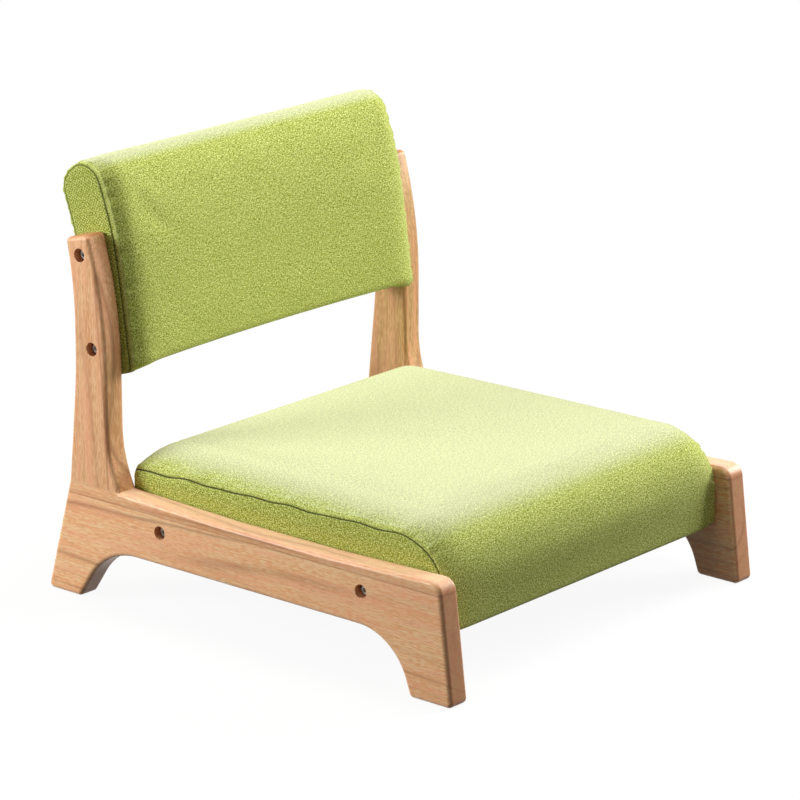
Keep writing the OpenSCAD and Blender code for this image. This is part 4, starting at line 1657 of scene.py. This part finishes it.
@dataclass
class Studio:
    """The floor, the lights and the camera."""

    lens: float = 178.95
    sensor: float = 36.0
    turn: float = -49.627
    lift: float = 16.987
    stand: tuple = (-3.1388, -2.6665, 1.468)
    floor_half: float = 9.0
    floor_z: float = -0.0002
    floor_glow: float = 0.93
    white: tuple = (1.0, 1.0, 1.0, 1.0)
    sky: float = 0.16

    def floor(self) -> None:
        """Lay a pale floor that shows white to the camera and takes a shadow."""
        half = self.floor_half
        corners = [
            (x, y, self.floor_z)
            for x, y in ((-half, -half), (half, -half), (half, half), (-half, half))
        ]
        piece = new_piece("studio_floor", corners, [(0, 1, 2, 3)])
        paint = Paint("pale_floor")
        place, seen = paint.place(), paint.seen()
        cloud = paint.noise(place, (1.5, 1.5, 1.5))
        pale = paint.mix(cloud, colour(250, 250, 250), colour(254, 254, 254))
        plain = paint.node(
            "BsdfPrincipled",
            {
                "Base Color": paint.mix(seen, colour(62, 60, 58), pale),
                "Roughness": 0.9,
                "Specular IOR Level": 0.1,
            },
        )
        glow = paint.node("Emission", {"Color": self.white, "Strength": 1.0})
        far = paint.node("VectorMath", {0: place}, "Value", operation="LENGTH")
        fade = (1 - self.floor_glow) * far.step(0.35, 1.1)
        sockets = {0: seen * (self.floor_glow + fade), 1: plain, 2: glow}
        shader = paint.node("MixShader", sockets)
        under = paint.node("NewGeometry", out="Backfacing")
        clear = paint.node("BsdfTransparent")
        wear(piece, paint.finish(paint.node("MixShader", {0: under, 1: shader, 2: clear})))

    def world(self) -> None:
        """Make a soft even sky that the camera sees as white."""
        world = bpy.data.worlds.new("studio")
        bpy.context.scene.world = world
        world.use_nodes = True
        world.node_tree.nodes.clear()
        graph = Graph(world.node_tree)
        bright = graph.node("Background", {0: self.white, 1: 1.0})
        sky = graph.node("Background", {0: colour(255, 247, 234), 1: self.sky})
        mixed = graph.node("MixShader", {0: graph.seen(), 1: sky, 2: bright})
        graph.add("OutputWorld", {0: mixed})

    def lamp(
        self, name: str, place: tuple, aim: tuple, size: float, power: float
    ) -> None:
        """Hang a square soft light.

        Args:
            name: The light's name.
            place: Where it hangs.
            aim: The point that it faces.
            size: Its side.
            power: Its power in watts.
        """
        light = bpy.data.lights.new(name, "AREA")
        light.shape = "SQUARE"
        light.size = size
        light.energy = power
        lamp = link(name, light)
        lamp.location = place
        lamp.rotation_mode = "QUATERNION"
        toward = Vector(aim) - Vector(place)
        lamp.rotation_quaternion = toward.to_track_quat("-Z", "Y")
        lamp.visible_camera = False

    def camera(self) -> None:
        """Stand the camera where the chair was seen from."""
        data = bpy.data.cameras.new("camera")
        data.lens = self.lens
        data.sensor_width = self.sensor
        data.clip_start, data.clip_end = 0.1, 50.0
        turn, lift = math.radians(self.turn), math.radians(self.lift)
        level = math.cos(lift)
        back = Vector((math.sin(turn) * level, -math.cos(turn) * level, math.sin(lift)))
        camera = link("camera", data)
        camera.location = self.stand
        camera.rotation_mode = "QUATERNION"
        camera.rotation_quaternion = (-back).to_track_quat("-Z", "Y")
        bpy.context.scene.camera = camera

    def build(self) -> None:
        """Set up the whole studio."""
        bpy.context.scene.view_settings.view_transform = "Standard"
        self.camera()
        self.floor()
        self.world()
        self.lamp("top_light", (0.2, -0.1, 2.5), (0.0, 0.0, 0.15), 1.3, 41.0)
        self.lamp("right_light", (2.15, -0.88, 1.15), (0.0, 0.0, 0.2), 1.0, 62.0)
        self.lamp("left_light", (-1.8, 1.52, 0.9), (0.0, 0.0, 0.2), 0.9, 46.0)


def main() -> None:
    """Build the chair's looks piece by piece."""
    layout = "%(relativeCreated)d %(name)s %(message)s"
    logging.basicConfig(level=logging.INFO, format=layout)
    Studio().build()
    back = BackPad()
    bolts = tuple(back.bolt_place(s) for s in back.bolt_heights)
    for side in Side:
        SideFrame(side, post_bolt_places=bolts).dress()
    thread = Thread().make()
    SeatPad().dress(Linen("green_linen", contrast=1.2).make(), thread)
    # The backrest's cloth is the same linen with a stronger painted seam highlight, a
    # lighter painted seam shade and its diagonals shown.
    end_cloth = Linen("green_linen_backrest", seam_highlight=0.4, line=0.6, diagonal=0.6)
    back.dress(end_cloth.make(), thread)
    InnerParts(frame["nodes"]).dress()


if __name__ == "__main__":
    main()
